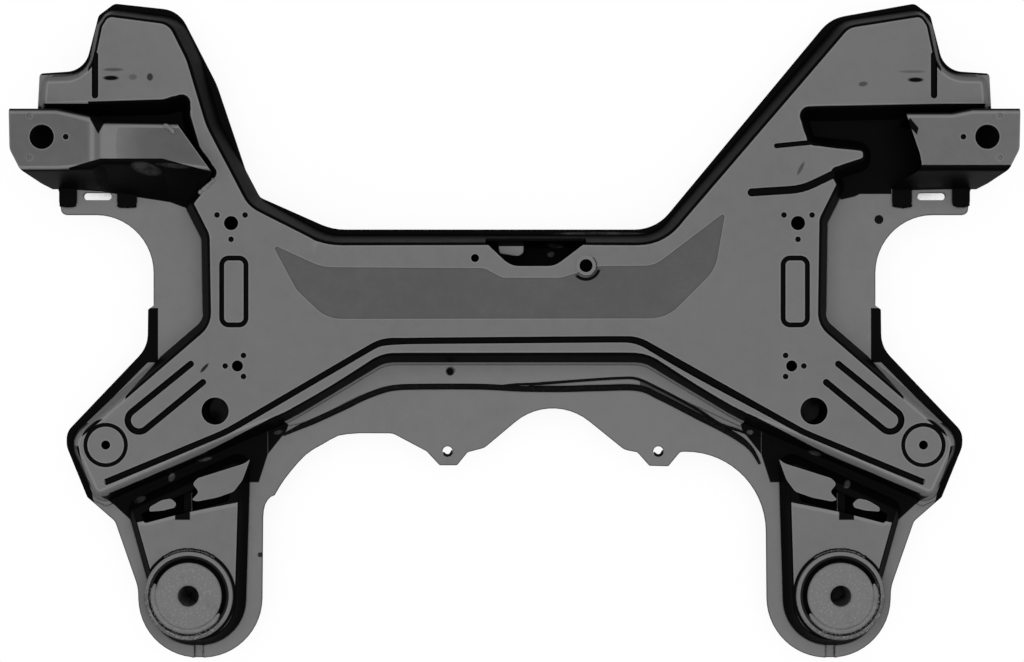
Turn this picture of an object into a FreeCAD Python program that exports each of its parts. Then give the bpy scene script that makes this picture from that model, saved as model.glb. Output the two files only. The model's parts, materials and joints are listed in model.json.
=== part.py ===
import FreeCAD, Part
import math
import os

import Sketcher
from FreeCAD import Placement, Rotation, Vector

# Front axle subframe: two pressed steel shells joined at a seam flange, with
# brackets on the horns and a rubber bush in each rear lobe.
# X runs across the car, Y towards the horns, Z up. The frame rests on its
# belly and on the two bush cups, so Z is 0 there.

LEFT = -1
RIGHT = 1
SIDES = ((LEFT, "left"), (RIGHT, "right"))
CLEAR = 5.0
# The smallest rounding of a corner, and the share of a leg that roundings may take.
LEAST_ROUND = 0.4
LEG_SHARE = 0.98
PIP_COUNT = 3

# Driving dimensions, one sheet cell each, in millimetres.
SIZES = {
    "sheet_thick": 2.5,
    "seam_level": 30,
    "plateau_level": 66,
    "pad_level": 52,
    "wall_run": 10,
    "belly_run": 8,
    "pad_run": 8,
    "shoulder_radius": 5,
    "bead_width": 6.5,
    "bead_depth": 3,
    "bead_draft": 0.35,
    "ring_width": 4,
    "ring_depth": 1.5,
    "slot_bead_width": 5,
    "recess_depth": 1.2,
    "inner_bead_growth": 2,
    "groove_high_width": 5,
    "groove_low_width": 8,
    "slot_bead_length": 66,
    "slot_bead_breadth": 24,
    "slot_bead_corner": 7,
    "slot_bead_x": 277,
    "slot_bead_y": 40.5,
    "bush_spacing": 646,
    "bush_y": -261,
    "bush_bore_radius": 10.3,
    "bush_inner_radius": 18.4,
    "bush_outer_radius": 39.5,
    "bush_sleeve_wall": 2.5,
    "bush_top_level": 60,
    "bush_disc_radius": 33,
    "bush_disc_thick": 5,
    "cup_wall": 3,
    "cup_top_level": 57,
    "rubber_end_gap": 3,
    "rubber_waist": 4,
    "arm_bolt_spacing": 591,
    "arm_bolt_y": -77.5,
    "arm_bolt_radius": 13.5,
    "spacer_wall": 3.2,
    "rack_nut_spacing": 559.5,
    "rack_nut_y": 108,
    "rack_nut_radius": 7,
    "stay_nut_spacing": 547,
    "stay_nut_y": -33,
    "stay_nut_radius": 5.5,
    "nut_wall": 4.5,
    "nut_height": 9,
    "pip_radius": 2.8,
    "pip_depth": 1.9,
    "rack_pip_circle": 16,
    "stay_pip_circle": 12,
    "horn_pip_circle": 23.5,
    "boss_spacing": 807,
    "boss_y": -111,
    "boss_ring_radius": 20,
    "boss_hole_radius": 4.5,
    "boss_nut_radius": 10,
    "collar_x": 70.5,
    "collar_y": 66,
    "collar_bore_radius": 6.5,
    "collar_wall": 3,
    "collar_proud": 2,
    "collar_depth": 12,
    "skirt_hole_left_x": -67,
    "skirt_hole_right_x": 144,
    "skirt_hole_y": -119,
    "skirt_hole_radius": 5,
    "gauge_hole_x": -39,
    "gauge_hole_y": 73.5,
    "gauge_hole_radius": 4,
    "drain_hole_x": -63.7,
    "drain_hole_y": -39,
    "clip_hole_x": 364.5,
    "clip_hole_y": 113.5,
    "clip_hole_radius": 3,
    "tab_slot_x": 417,
    "tab_slot_y": 136,
    "tab_slot_length": 28,
    "tab_slot_breadth": 7,
    "horn_hole_spacing": 925,
    "horn_hole_y": 191.5,
    "horn_hole_radius": 12,
    "bracket_level": 88,
    "bracket_thick": 3,
    "bracket_ridge_radius": 6,
    "bracket_rear_lean": 8,
    "foot_far_out": -7.5,
    "foot_far_in": -25,
    "foot_near_out": -65.5,
    "foot_near_in": -85,
    "foot_reach": -66.5,
    "foot_root": -45,
    "foot_corner": 6,
    "horn_nut_radius": 20,
    "horn_nut_height": 8,
    "tray_floor_level": 8,
    "tray_thick": 2,
    "tray_web_thick": 8,
    "tray_web_drop": 12,
    "pad_shoulder": 3,
    "drain_bead_x": 7,
    "drain_bead_width": 9,
    "drain_bead_inner": -45,
    "drain_bead_outer": -64.5,
    "drain_bead_depth": 3,
}

# Outline corners are (distance outboard of the centre, height in plan, rounding).
# The seam outline of one side: the horn, the lug under its bracket, the side bay
# and the arm's end. The lug is given from the horn hole, the head of the bay from
# the rack nut, and the end from the boss.
SEAM_HORN = (
    ("seam_horn_tip", 400, 329, 8),
    ("seam_horn_brow", 416, 317, 8),
    ("seam_horn_elbow", 430, 262, 24),
)
SEAM_LUG = (
    ("seam_shelf", 12.5, 67.5, 4),
    ("seam_shelf_foot", 14.5, 28.5, 3),
    ("seam_lug_rear", 24.5, 25, 4),
    ("seam_lug_cheek", 25.5, -14, 10),
    ("seam_lug_chin", 21.5, -34, 8),
    ("seam_lug_jaw", 3.5, -41.5, 6),
    ("seam_tab_neck", -6.5, -48, 6),
    ("seam_tab_corner", -9.5, -74, 6),
)
SEAM_NUT = (
    ("seam_bay", 81.25, 9.5, 58),
)
SEAM_BAY = (
    ("seam_bay_foot", 361, 27, 1.5),
    ("seam_step", 366.5, 23, 1.5),
    ("seam_arm_hip", 367, -14.5, 32),
)
SEAM_ARM_END = (
    ("seam_arm_elbow", 44.5, 11.5, 18),
    ("seam_arm_heel", 44.5, -3, 22),
    ("seam_arm_toe", 23.5, -54.5, 5),
)
SEAM_FOOT = (
    ("seam_foot", 4.5, -63, 4),
)
# The lower edge of the upper shell, left to right, stepping down to the skirt.
SEAM_FRONT = (
    ("seam_waist_left", -230, -93, 40),
    ("seam_brow_left", -131, -54.5, 30),
    ("seam_lap_left", 8, -54.5, 20),
    ("seam_lap_right", 28, -50, 20),
    ("seam_brow_right", 118, -45, 30),
    ("seam_waist_right", 230, -96, 40),
)
# The edge between the horns, right to left.
SEAM_CROWN = (
    ("seam_crown_right", 316, 314, 38),
    ("seam_valley_right", 141, 103, 45),
    ("seam_valley_left", -182, 103, 60),
    ("seam_slope_left", -261, 138, 25),
    ("seam_neck_left", -298, 248, 90),
    ("seam_crown_left", -336, 322, 28),
)
# One lobe, as offsets from the bush centre: outboard, height in plan, rounding.
LOBE = (
    ("lobe_hip", 77, 72, 10),
    ("lobe_waist", 54, 6, 40),
    ("lobe_heel", 52, -64.5, 60),
    ("lobe_toe", -70, -64.5, 60),
)
# The crotch between skirt and lobe, given outboard of the bush centre.
CROTCH_LEFT = (
    ("skirt_crotch_left", -72, -100.5, 84),
)
CROTCH_RIGHT = (
    ("skirt_crotch_right", -72, -118.5, 80),
)
# The skirt's lower edge, left to right.
SKIRT = (
    ("skirt_run_left", -122, -101, 15),
    ("skirt_dip_left", -88, -119, 8),
    ("skirt_tab_left_a", -75, -133, 3),
    ("skirt_tab_left_b", -57.5, -133, 3),
    ("skirt_tab_left_c", -47, -120, 5),
    ("skirt_rise_left", -30, -115.5, 12),
    ("skirt_crest", 37.5, -59, 58),
    ("skirt_rise_right", 110, -117.5, 14),
    ("skirt_dip_right", 123, -120, 4),
    ("skirt_tab_right_a", 135, -133.5, 3),
    ("skirt_tab_right_b", 154, -134, 3),
    ("skirt_tab_right_c", 166, -119.5, 5),
)
# The raised plateau: the horn, its shelf given from the horn hole, the inner edge of
# each bracket bay, whose lower corners are given from the rack nut, and the arm,
# whose end is given from the boss.
PLATEAU_HORN = (
    ("plateau_tip", 402, 314, 8),
    ("plateau_brow", 409, 303, 8),
    ("plateau_elbow", 420, 250, 30),
)
PLATEAU_SHELF = (
    ("plateau_shelf", 0.5, 57.5, 4),
    ("plateau_shelf_foot", 2.5, 33, 3),
)
PLATEAU_BAY_LEFT = (
    ("bay_left_hook", 347, 228, 10),
    ("bay_left_head", 322, 235, 6),
    ("bay_left_cheek", 322, 214, 8),
    ("bay_left_jaw", 312.5, 182, 12),
    ("bay_left_tip", 295, 157.5, 4),
)
PLATEAU_NUT_LEFT = (
    ("bay_left_chin", 39.25, 19.5, 3),
    ("bay_left_foot", 23.25, -12, 20),
)
PLATEAU_BAY_RIGHT = (
    ("bay_right_head", 281, 221, 7),
    ("bay_right_cheek", 292, 187, 4),
    ("tongue_upper", 346, 181, 5),
    ("tongue_lower", 346, 171, 4),
    ("tongue_heel", 313, 160, 3),
)
PLATEAU_NUT_RIGHT = (
    ("bay_right_chin", 40.25, 38, 3),
    ("bay_right_foot", 23.25, 4, 15),
)
PLATEAU_FLANK = (
    ("plateau_side", 301.5, 8, 25),
)
PLATEAU_ARM_END = (
    ("plateau_arm_elbow", 30.5, 5, 14),
    ("plateau_arm_heel", 27.5, -7, 12),
    ("plateau_arm_toe", 8.5, -49, 6),
)
PLATEAU_WAIST = (
    ("plateau_waist", 228, -79, 150),
    ("plateau_brow_low", 132, -22, 40),
)
PLATEAU_CROWN = (
    ("crown_right", 329, 302.5, 20),
    ("valley_right", 145.5, 88.3, 50),
    ("valley_left", -187, 88.3, 60),
    ("slope_left", -261, 126, 30),
    ("neck_left", -302.5, 205, 80),
    ("horn_left", -322, 270, 60),
    ("crown_left", -340, 306, 18),
)
# The shallow sunk panel in the middle of the plateau.
PANEL = (
    ("panel_horn_left", -239, 87, 2),
    ("panel_edge_left", -190, 64.5, 50),
    ("panel_dip_a", -30, 63.5, 12),
    ("panel_dip_b", -12, 54, 12),
    ("panel_dip_c", 46, 54, 20),
    ("panel_dip_d", 82, 65.5, 20),
    ("panel_edge_right", 138, 66, 30),
    ("panel_horn_right", 208, 119, 2),
    ("panel_flank_right", 198, 62, 40),
    ("panel_foot_right", 150, 14, 40),
    ("panel_foot_left", -185, 13.5, 35),
    ("panel_flank_left", -215, 42, 30),
)
# The access notch where the plateau meets the wall between the horns.
NOTCH = (
    ("notch_wall_left", -28, 99, 1),
    ("notch_left", -29, 89, 2),
    ("notch_low_left", -4, 65.5, 22),
    ("notch_low_right", 40, 65.5, 22),
    ("notch_right", 71, 89, 2),
    ("notch_wall_right", 70, 99, 1),
)
# Centre lines of the pressed beads. The long bead ends below each boss.
BEAD_END = (
    ("bead_end", 2, -37.5, 0),
)
LONG_BEAD = (
    ("bead_waist_left", -285, -98.5, 150),
    ("bead_brow_left", -131, -8.5, 40),
    ("bead_brow_right", 121, -6.5, 40),
    ("bead_waist_right", 285, -98.5, 150),
)
GROOVE_HIGH = (
    ("groove_high_tip", 256, 184, 0),
    ("groove_high_mouth", 302, 188.5, 0),
)
GROOVE_LOW = (
    ("groove_low_tip", 230, 138, 0),
    ("groove_low_bend", 284, 141.5, 60),
    ("groove_low_mouth", 327, 162, 0),
)
HAIRPIN = (
    ("hairpin_outer", 317, -29, 0),
    ("hairpin_turn_outer", 386, -85, 10.5),
    ("hairpin_turn_inner", 372, -102, 10.5),
    ("hairpin_inner", 305, -47, 0),
)
DART = (
    ("dart_head", 414, 277, 0),
    ("dart_foot", 414, 231, 0),
)
# The raised lobe box that carries the bush, and the pocket open in its top. The
# corners by the arm are outboard of the bush, the others are offsets from it.
PAD_ARM = (
    ("pad_arm_toe", -59, -114, 13),
    ("pad_arm_heel", 66, -171, 13),
)
PAD_BUSH = (
    ("pad_heel", 44, 11, 40),
    ("pad_heel_low", 43, -52, 46),
    ("pad_toe_low", -53, -52, 46),
)
POCKET = (
    ("pocket_heel", 50, -179, 4),
    ("pocket_heel_low", 46, -192, 5),
    ("pocket_toe_low", -42, -169, 8),
    ("pocket_toe", -45, -134, 6),
)
# Each horn bracket's plan, given from the horn hole: outboard, height in plan, rounding.
STAY_PLAN_OUTER = (
    ("stay_jaw", -7, -52, 3),
    ("stay_chin", 7.5, -43.5, 10),
    ("stay_cheek", 21.5, -31.5, 14),
    ("stay_side", 31.5, -12, 14),
    ("stay_rear", 32.5, 34, 1),
)
STAY_PLAN_LEFT = (
    ("stay_left_rear", -130, 34, 1),
    ("stay_left_end", -132.5, 12, 3),
    ("stay_left_tip", -165.5, -34, 2),
    ("stay_left_heel", -143.5, -63, 2),
    ("stay_left_low", -140, -90, 2),
    ("stay_left_foot", -7, -90, 2),
)
STAY_PLAN_RIGHT = (
    ("stay_right_rear", -80, 34, 1),
    ("stay_right_head", -78.5, 20.5, 8),
    ("stay_right_lip", -66, -16, 14),
    ("stay_right_throat", -63, -31, 10),
    ("stay_right_heel", -84, -44, 4),
    ("stay_right_low", -84, -90, 2),
    ("stay_right_foot", -7, -90, 2),
)
# Cross sections along each bracket, from the horn hole: outboard, rear ridge, front
# ridge, front foot, and how far the crest lies below the plate.
STAY_LEFT = (
    ("left_end", 34, 29, -32.5, -48.5, 0),
    ("left_plate", -14, 29, -32.5, -48.5, 0),
    ("left_joggle", -49, 22, -31, -50.5, 0),
    ("left_box", -60, 16.5, -25, -52.5, 3.5),
    ("left_run", -118, 15.5, -25.5, -61.5, 3.5),
    ("left_inner", -168, 14.5, -32, -80, 3.5),
)
STAY_RIGHT = (
    ("right_end", 34, 29, -32.5, -48.5, 0),
    ("right_plate", -14, 29, -32.5, -48.5, 0),
    ("right_waist", -34, 25, -32.5, -48.5, 0),
    ("right_inner", -88, 25, -32.5, -50, 0),
)
OUTLINES = (
    SEAM_HORN, SEAM_LUG, SEAM_NUT, SEAM_BAY, SEAM_ARM_END, SEAM_FOOT, SEAM_FRONT, SEAM_CROWN, LOBE,
    CROTCH_LEFT, CROTCH_RIGHT, SKIRT, PLATEAU_HORN, PLATEAU_SHELF, PLATEAU_BAY_LEFT, PLATEAU_BAY_RIGHT,
    PLATEAU_NUT_LEFT, PLATEAU_NUT_RIGHT, PLATEAU_FLANK, PLATEAU_ARM_END, PLATEAU_WAIST, PLATEAU_CROWN, PANEL, NOTCH, BEAD_END,
    LONG_BEAD, GROOVE_HIGH, GROOVE_LOW, HAIRPIN, DART, PAD_ARM, PAD_BUSH, POCKET,
    STAY_PLAN_OUTER, STAY_PLAN_LEFT, STAY_PLAN_RIGHT,
)

doc = FreeCAD.newDocument("Subframe")
sheet = doc.addObject("Spreadsheet::Sheet", "Sizes")
parts = []


# Sheet of dimensions
def fill_sheet():
    """Write every driving dimension and outline corner to its own named cell."""
    cells = dict(SIZES)
    for outline in OUTLINES:
        for name, across, along, rounding in outline:
            cells[name + "_across"] = across
            cells[name + "_along"] = along
            cells[name + "_round"] = rounding
    for name, out, rear, front, foot, drop in STAY_LEFT + STAY_RIGHT:
        cells[name + "_out"] = out
        cells[name + "_rear"] = rear
        cells[name + "_front"] = front
        cells[name + "_foot"] = foot
        cells[name + "_drop"] = drop
    for row, (name, number) in enumerate(cells.items(), start=1):
        sheet.set("A%d" % row, name)
        sheet.set("B%d" % row, repr(number))
        sheet.setAlias("B%d" % row, name)
    doc.recompute()


def size(name):
    """Return one dimension of the sheet as a number."""
    return float(sheet.get(name))


class Dim:
    """A sheet expression and its present value, kept together for sketch constraints."""

    def __init__(self, text, number):
        self.text = text
        self.number = number

    def join(self, sign, other, number):
        return Dim("(%s %s %s)" % (self.text, sign, other.text), number)

    def __add__(self, other):
        return self.join("+", other, self.number + other.number)

    def __sub__(self, other):
        return self.join("-", other, self.number - other.number)

    def __mul__(self, factor):
        return Dim("(%s * %s)" % (self.text, factor), self.number * factor)


ZERO = Dim("0", 0.0)


def dim(name):
    """Return one dimension of the sheet as an expression with its value."""
    return Dim("Sizes." + name, size(name))


# Outlines with rounded corners
def corner(name, side=RIGHT, shift=(0.0, 0.0)):
    """Return one outline corner, mirrored to a side and moved by a shift."""
    across = shift[0] + size(name + "_across")
    along = shift[1] + size(name + "_along")
    return (side * across, along, size(name + "_round"))


def corners(outline, side=RIGHT, shift=(0.0, 0.0)):
    """Return an outline's corners in their written order."""
    return [corner(row[0], side, shift) for row in outline]


def place_of(spacing_name, along_name):
    """Return half a spacing and the height in plan of a mirrored pair."""
    return (size(spacing_name) / 2, size(along_name))


def bush_place():
    """Return the centre of the right bush."""
    return place_of("bush_spacing", "bush_y")


def boss_place():
    """Return the centre of the right boss."""
    return place_of("boss_spacing", "boss_y")


def horn_place():
    """Return the centre of the right horn hole."""
    return place_of("horn_hole_spacing", "horn_hole_y")


def rack_place():
    """Return the centre of the right rack nut."""
    return place_of("rack_nut_spacing", "rack_nut_y")


def backwards(points):
    """Return corners in the opposite order, for the far side of an outline."""
    return list(reversed(points))


def heading(start, end):
    """Return the unit direction from one corner to the next."""
    run = math.hypot(end[0] - start[0], end[1] - start[1])
    return ((end[0] - start[0]) / run, (end[1] - start[1]) / run)


def enclosed_area(points):
    """Return the signed area of the sharp outline, positive when it turns left."""
    pairs = zip(points, points[1:] + points[:1])
    return sum(a[0] * b[1] - b[0] * a[1] for a, b in pairs) / 2


def half_angle(before, here, after):
    """Return half the angle between the two legs of a corner."""
    back = heading(here, before)
    ahead = heading(here, after)
    cosine = max(-1.0, min(1.0, back[0] * ahead[0] + back[1] * ahead[1]))
    return math.acos(cosine) / 2


def fitted(points):
    """Return an outline whose roundings are no larger than the legs beside them allow."""
    count = len(points)
    legs = [math.dist(points[i - 1][:2], points[i][:2]) for i in range(count)]
    halves = [half_angle(points[i - 1], points[i], points[(i + 1) % count]) for i in range(count)]
    reaches = [here[2] / math.tan(half) for here, half in zip(points, halves)]
    limited = []
    for i, here in enumerate(points):
        after = (i + 1) % count
        room_before = legs[i] * LEG_SHARE / (reaches[i - 1] + reaches[i])
        room_after = legs[after] * LEG_SHARE / (reaches[i] + reaches[after])
        limited.append((here[0], here[1], here[2] * min(1.0, room_before, room_after)))
    return limited


def corner_arc(before, here, after, level):
    """Return the start, middle and end of the arc that rounds one corner."""
    back = heading(here, before)
    ahead = heading(here, after)
    half = half_angle(before, here, after)
    reach = here[2] / math.tan(half)
    bisector = heading((0, 0), (back[0] + ahead[0], back[1] + ahead[1]))
    sink = here[2] / math.sin(half) - here[2]
    start = Vector(here[0] + back[0] * reach, here[1] + back[1] * reach, level)
    middle = Vector(here[0] + bisector[0] * sink, here[1] + bisector[1] * sink, level)
    end = Vector(here[0] + ahead[0] * reach, here[1] + ahead[1] * reach, level)
    return start, middle, end


def rounded_wire(points, level):
    """Return the closed wire of lines and arcs through an outline's corners."""
    count = len(points)
    points = fitted(points)
    arcs = [corner_arc(points[i - 1], points[i], points[(i + 1) % count], level) for i in range(count)]
    edges = []
    for i, (start, middle, end) in enumerate(arcs):
        edges.append(Part.Arc(start, middle, end).toShape())
        following = arcs[(i + 1) % count][0]
        edges.append(Part.LineSegment(end, following).toShape())
    return Part.Wire(edges)


def grown(points, distance):
    """Return an outline moved outwards by a distance, or inwards when it is negative."""
    turn = 1 if enclosed_area(points) > 0 else -1
    count = len(points)
    moved = []
    for i, here in enumerate(points):
        into = heading(points[i - 1], here)
        out = heading(here, points[(i + 1) % count])
        into_normal = (into[1] * turn, -into[0] * turn)
        out_normal = (out[1] * turn, -out[0] * turn)
        spread = 1 + into_normal[0] * out_normal[0] + into_normal[1] * out_normal[1]
        across = here[0] + distance * (into_normal[0] + out_normal[0]) / spread
        along = here[1] + distance * (into_normal[1] + out_normal[1]) / spread
        convex = (into[0] * out[1] - into[1] * out[0]) * turn > 0
        rounding = here[2] + distance if convex else here[2] - distance
        moved.append((across, along, max(rounding, LEAST_ROUND)))
    return moved


def stroke(path, width):
    """Return the outline of a bead of even width with round ends along a path."""
    half = width / 2
    one_side = []
    other_side = []
    for i, here in enumerate(path):
        into = heading(path[i - 1], here) if i else heading(here, path[1])
        out = heading(here, path[i + 1]) if i + 1 < len(path) else into
        normal = (-into[1] - out[1], into[0] + out[0])
        spread = 1 + into[0] * out[0] + into[1] * out[1]
        step = (normal[0] * half / spread, normal[1] * half / spread)
        left_turn = into[0] * out[1] - into[1] * out[0] > 0
        end = i in (0, len(path) - 1)
        near = half if end else here[2] - half if left_turn else here[2] + half
        far = half if end else here[2] + half if left_turn else here[2] - half
        one_side.append((here[0] + step[0], here[1] + step[1], near))
        other_side.append((here[0] - step[0], here[1] - step[1], far))
    return one_side + backwards(other_side)


def prism(points, low, high):
    """Return a straight-sided solid between two levels."""
    return Part.Face(rounded_wire(points, low)).extrude(Vector(0, 0, high - low))


def drafted(low_points, low, high_points, high):
    """Return a solid with sloping sides between an outline and its grown copy."""
    return Part.makeLoft([rounded_wire(low_points, low), rounded_wire(high_points, high)], True, True)


def rounded_at(solid, level, radius):
    """Round the edges of a solid that lie at one level."""
    edges = [edge for edge in solid.Edges if all(abs(v.Z - level) < 1e-6 for v in edge.Vertexes)]
    return solid.makeFillet(radius, edges)


def cylinder(across, along, radius, low, high):
    """Return an upright cylinder between two levels."""
    return Part.makeCylinder(radius, high - low, Vector(across, along, low))


def fused(shapes):
    """Return one solid made of touching or overlapping shapes."""
    whole = shapes[0].fuse(shapes[1:]) if len(shapes) > 1 else shapes[0]
    return whole.removeSplitter()


# Named outlines of the two shells
def plateau_outline():
    """Return the top edge of the plateau, anticlockwise from the left horn."""
    whole = []
    left_bay = (LEFT, PLATEAU_BAY_LEFT, PLATEAU_NUT_LEFT)
    right_bay = (RIGHT, PLATEAU_BAY_RIGHT, PLATEAU_NUT_RIGHT)
    for side, bay, by_nut in (left_bay, right_bay):
        edge = corners(PLATEAU_HORN, side) + corners(PLATEAU_SHELF, side, horn_place())
        edge += corners(bay, side) + corners(by_nut, side, rack_place()) + corners(PLATEAU_FLANK, side)
        edge += corners(PLATEAU_ARM_END, side, boss_place()) + corners(PLATEAU_WAIST, side)
        whole += edge if side == LEFT else backwards(edge)
    return whole + corners(PLATEAU_CROWN)


def seam_side(side):
    """Return the edge that both shells share, from the horn tip to the arm toe."""
    edge = corners(SEAM_HORN, side) + corners(SEAM_LUG, side, horn_place())
    edge += corners(SEAM_NUT, side, rack_place())
    return edge + corners(SEAM_BAY, side) + corners(SEAM_ARM_END, side, boss_place())


def upper_seam_outline():
    """Return the edge of the upper shell, anticlockwise from the left horn."""
    left = seam_side(LEFT) + corners(SEAM_FOOT, LEFT, boss_place())
    right = seam_side(RIGHT) + corners(SEAM_FOOT, RIGHT, boss_place())
    return left + corners(SEAM_FRONT) + backwards(right) + corners(SEAM_CROWN)


def lower_seam_outline():
    """Return the edge of the lower shell with its lobes and skirt."""
    crotch_shift = (bush_place()[0], 0.0)
    left = seam_side(LEFT) + corners(LOBE, LEFT, bush_place())
    left += corners(CROTCH_LEFT, LEFT, crotch_shift)
    right = seam_side(RIGHT) + corners(LOBE, RIGHT, bush_place())
    right += corners(CROTCH_RIGHT, RIGHT, crotch_shift)
    return left + corners(SKIRT) + backwards(right) + corners(SEAM_CROWN)


def pad_outline(side):
    """Return the foot of the raised lobe box."""
    by_arm = corners(PAD_ARM, side, (bush_place()[0], 0.0))
    return by_arm + corners(PAD_BUSH, side, bush_place())


def pocket_outline(side):
    """Return the pocket's opening in the lobe box."""
    return corners(POCKET, side, (bush_place()[0], 0.0))


def slot_bead_outline(side):
    """Return the rectangle of the pressed slot beside the plateau's centre."""
    half_x = size("slot_bead_breadth") / 2
    half_y = size("slot_bead_length") / 2
    middle_x = side * size("slot_bead_x")
    middle_y = size("slot_bead_y")
    signs = ((-1, -1), (1, -1), (1, 1), (-1, 1))
    rounding = size("slot_bead_corner")
    return [(middle_x + i * half_x, middle_y + j * half_y, rounding) for i, j in signs]


# Pressed detail of the plateau
def bead_tool(points, level, depth, grow):
    """Return the drafted tool that presses a bead, grown by the sheet for the inner face."""
    draft = depth * size("bead_draft")
    return drafted(grown(points, grow - draft), level - depth, grown(points, grow), level)


def ring_tool(across, along, radius, width, low, high):
    """Return a round ring tool for a circular bead."""
    outer = cylinder(across, along, radius + width / 2, low, high)
    return outer.cut(cylinder(across, along, radius - width / 2, low, high))


def bead_outlines():
    """Return the outlines of every open bead on the plateau."""
    width = size("bead_width")
    ends = [corners(BEAD_END, side, boss_place()) for side, _ in SIDES]
    outlines = [stroke(ends[0] + corners(LONG_BEAD) + ends[1], width)]
    outlines.append(stroke(corners(GROOVE_HIGH), size("groove_high_width")))
    outlines.append(stroke(corners(GROOVE_LOW), size("groove_low_width")))
    for side, _ in SIDES:
        outlines.append(stroke(corners(HAIRPIN, side), width))
        outlines.append(stroke(corners(DART, side), width))
    return outlines


def pressed_tools(level, grow):
    """Return the tools that sink the beads, rings and panel into one face of the sheet."""
    depth = size("bead_depth")
    tools = [bead_tool(points, level, depth, grow) for points in bead_outlines()]
    half = size("slot_bead_width") / 2 + grow
    boss_x, boss_y = boss_place()
    for side, _ in SIDES:
        slot = slot_bead_outline(side)
        outer = prism(grown(slot, half), level - depth, level + CLEAR)
        inner = prism(grown(slot, -half), level - depth, level + CLEAR)
        tools.append(outer.cut(inner))
        radius = size("boss_ring_radius")
        width = size("ring_width") + 2 * grow
        ring_low = level - size("ring_depth")
        tools.append(ring_tool(side * boss_x, boss_y, radius, width, ring_low, level + CLEAR))
    panel = corners(PANEL)
    tools.append(prism(grown(panel, grow), level - size("recess_depth"), level + CLEAR))
    return tools


def nut_places():
    """Return the centre, bore, pip circle and first pip's angle of each plateau nut."""
    places = []
    rack_x, rack_y = rack_place()
    stay_x, stay_y = place_of("stay_nut_spacing", "stay_nut_y")
    for side, _ in SIDES:
        rack = (side * rack_x, rack_y, size("rack_nut_radius"), size("rack_pip_circle"), 270)
        stay = (side * stay_x, stay_y, size("stay_nut_radius"), size("stay_pip_circle"), 90 - 90 * side)
        places += [rack, stay]
    return places


def pip_tools(across, along, level, circle, first_angle):
    """Return the three weld pips pressed round a nut."""
    tools = []
    for turn in range(PIP_COUNT):
        angle = math.radians(first_angle + turn * 360 / PIP_COUNT)
        pip_x = across + circle * math.cos(angle)
        pip_y = along + circle * math.sin(angle)
        tools.append(cylinder(pip_x, pip_y, size("pip_radius"), level - size("pip_depth"), level + CLEAR))
    return tools


def plateau_block():
    """Return the solid under the plateau's outer face, with sloping walls and shoulders."""
    top = size("plateau_level")
    run = size("wall_run")
    outline = plateau_outline()
    block = drafted(grown(outline, run), size("seam_level") + size("sheet_thick"), outline, top)
    return rounded_at(block, top, size("shoulder_radius"))


def upper_shell(outer):
    """Return the upper pressing: drafted plateau, seam flange, beads and holes."""
    thick = size("sheet_thick")
    seam = size("seam_level")
    top = size("plateau_level")
    outline = plateau_outline()
    flange_top = seam + thick
    slope = size("wall_run") / (top - flange_top)
    below = seam - CLEAR
    inner_low = grown(outline, slope * (top - below) - thick)
    inner = drafted(inner_low, below, grown(outline, slope * thick - thick), top - thick)
    inner = rounded_at(inner, top - thick, size("shoulder_radius") - thick)
    flange = prism(upper_seam_outline(), seam, flange_top)
    outer_face = outer.cut(pressed_tools(top, 0.0))
    inner_face = inner.cut(pressed_tools(top - thick, size("inner_bead_growth")))
    shell = flange.fuse(outer_face).cut(inner_face)
    return shell.cut(upper_openings())


def upper_openings():
    """Return every hole, slot and notch cut through the upper shell."""
    seam = size("seam_level")
    top = size("plateau_level")
    low = seam - CLEAR
    high = top + CLEAR
    tools = []
    for across, along, radius, circle, first_angle in nut_places():
        tools.append(cylinder(across, along, radius, low, high))
        tools += pip_tools(across, along, top, circle, first_angle)
    for side, _ in SIDES:
        bolt_x = side * size("arm_bolt_spacing") / 2
        tools.append(cylinder(bolt_x, size("arm_bolt_y"), size("arm_bolt_radius"), low, high))
        boss_x, boss_y = boss_place()
        tools.append(cylinder(side * boss_x, boss_y, size("boss_hole_radius"), low, high))
        tools.append(tab_slot(side))
    tools.append(cylinder(size("collar_x"), size("collar_y"), collar_outer(), low, high))
    tools.append(cylinder(size("gauge_hole_x"), size("gauge_hole_y"), size("gauge_hole_radius"), low, high))
    tools.append(cylinder(size("drain_hole_x"), size("drain_hole_y"), size("gauge_hole_radius"), low, high))
    tools.append(cylinder(size("clip_hole_x"), size("clip_hole_y"), size("clip_hole_radius"), low, high))
    tools.append(prism(corners(NOTCH), (seam + top) / 2, high))
    return tools


def collar_outer():
    """Return the outside radius of the locating collar."""
    return size("collar_bore_radius") + size("collar_wall")


def tab_slot(side):
    """Return the slot through the side tab of both shells."""
    half_x = size("tab_slot_length") / 2
    half_y = size("tab_slot_breadth") / 2
    middle_x = side * size("tab_slot_x")
    middle_y = size("tab_slot_y")
    signs = ((-1, -1), (1, -1), (1, 1), (-1, 1))
    points = [(middle_x + i * half_x, middle_y + j * half_y, half_y) for i, j in signs]
    return prism(points, 0, size("plateau_level"))


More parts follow.
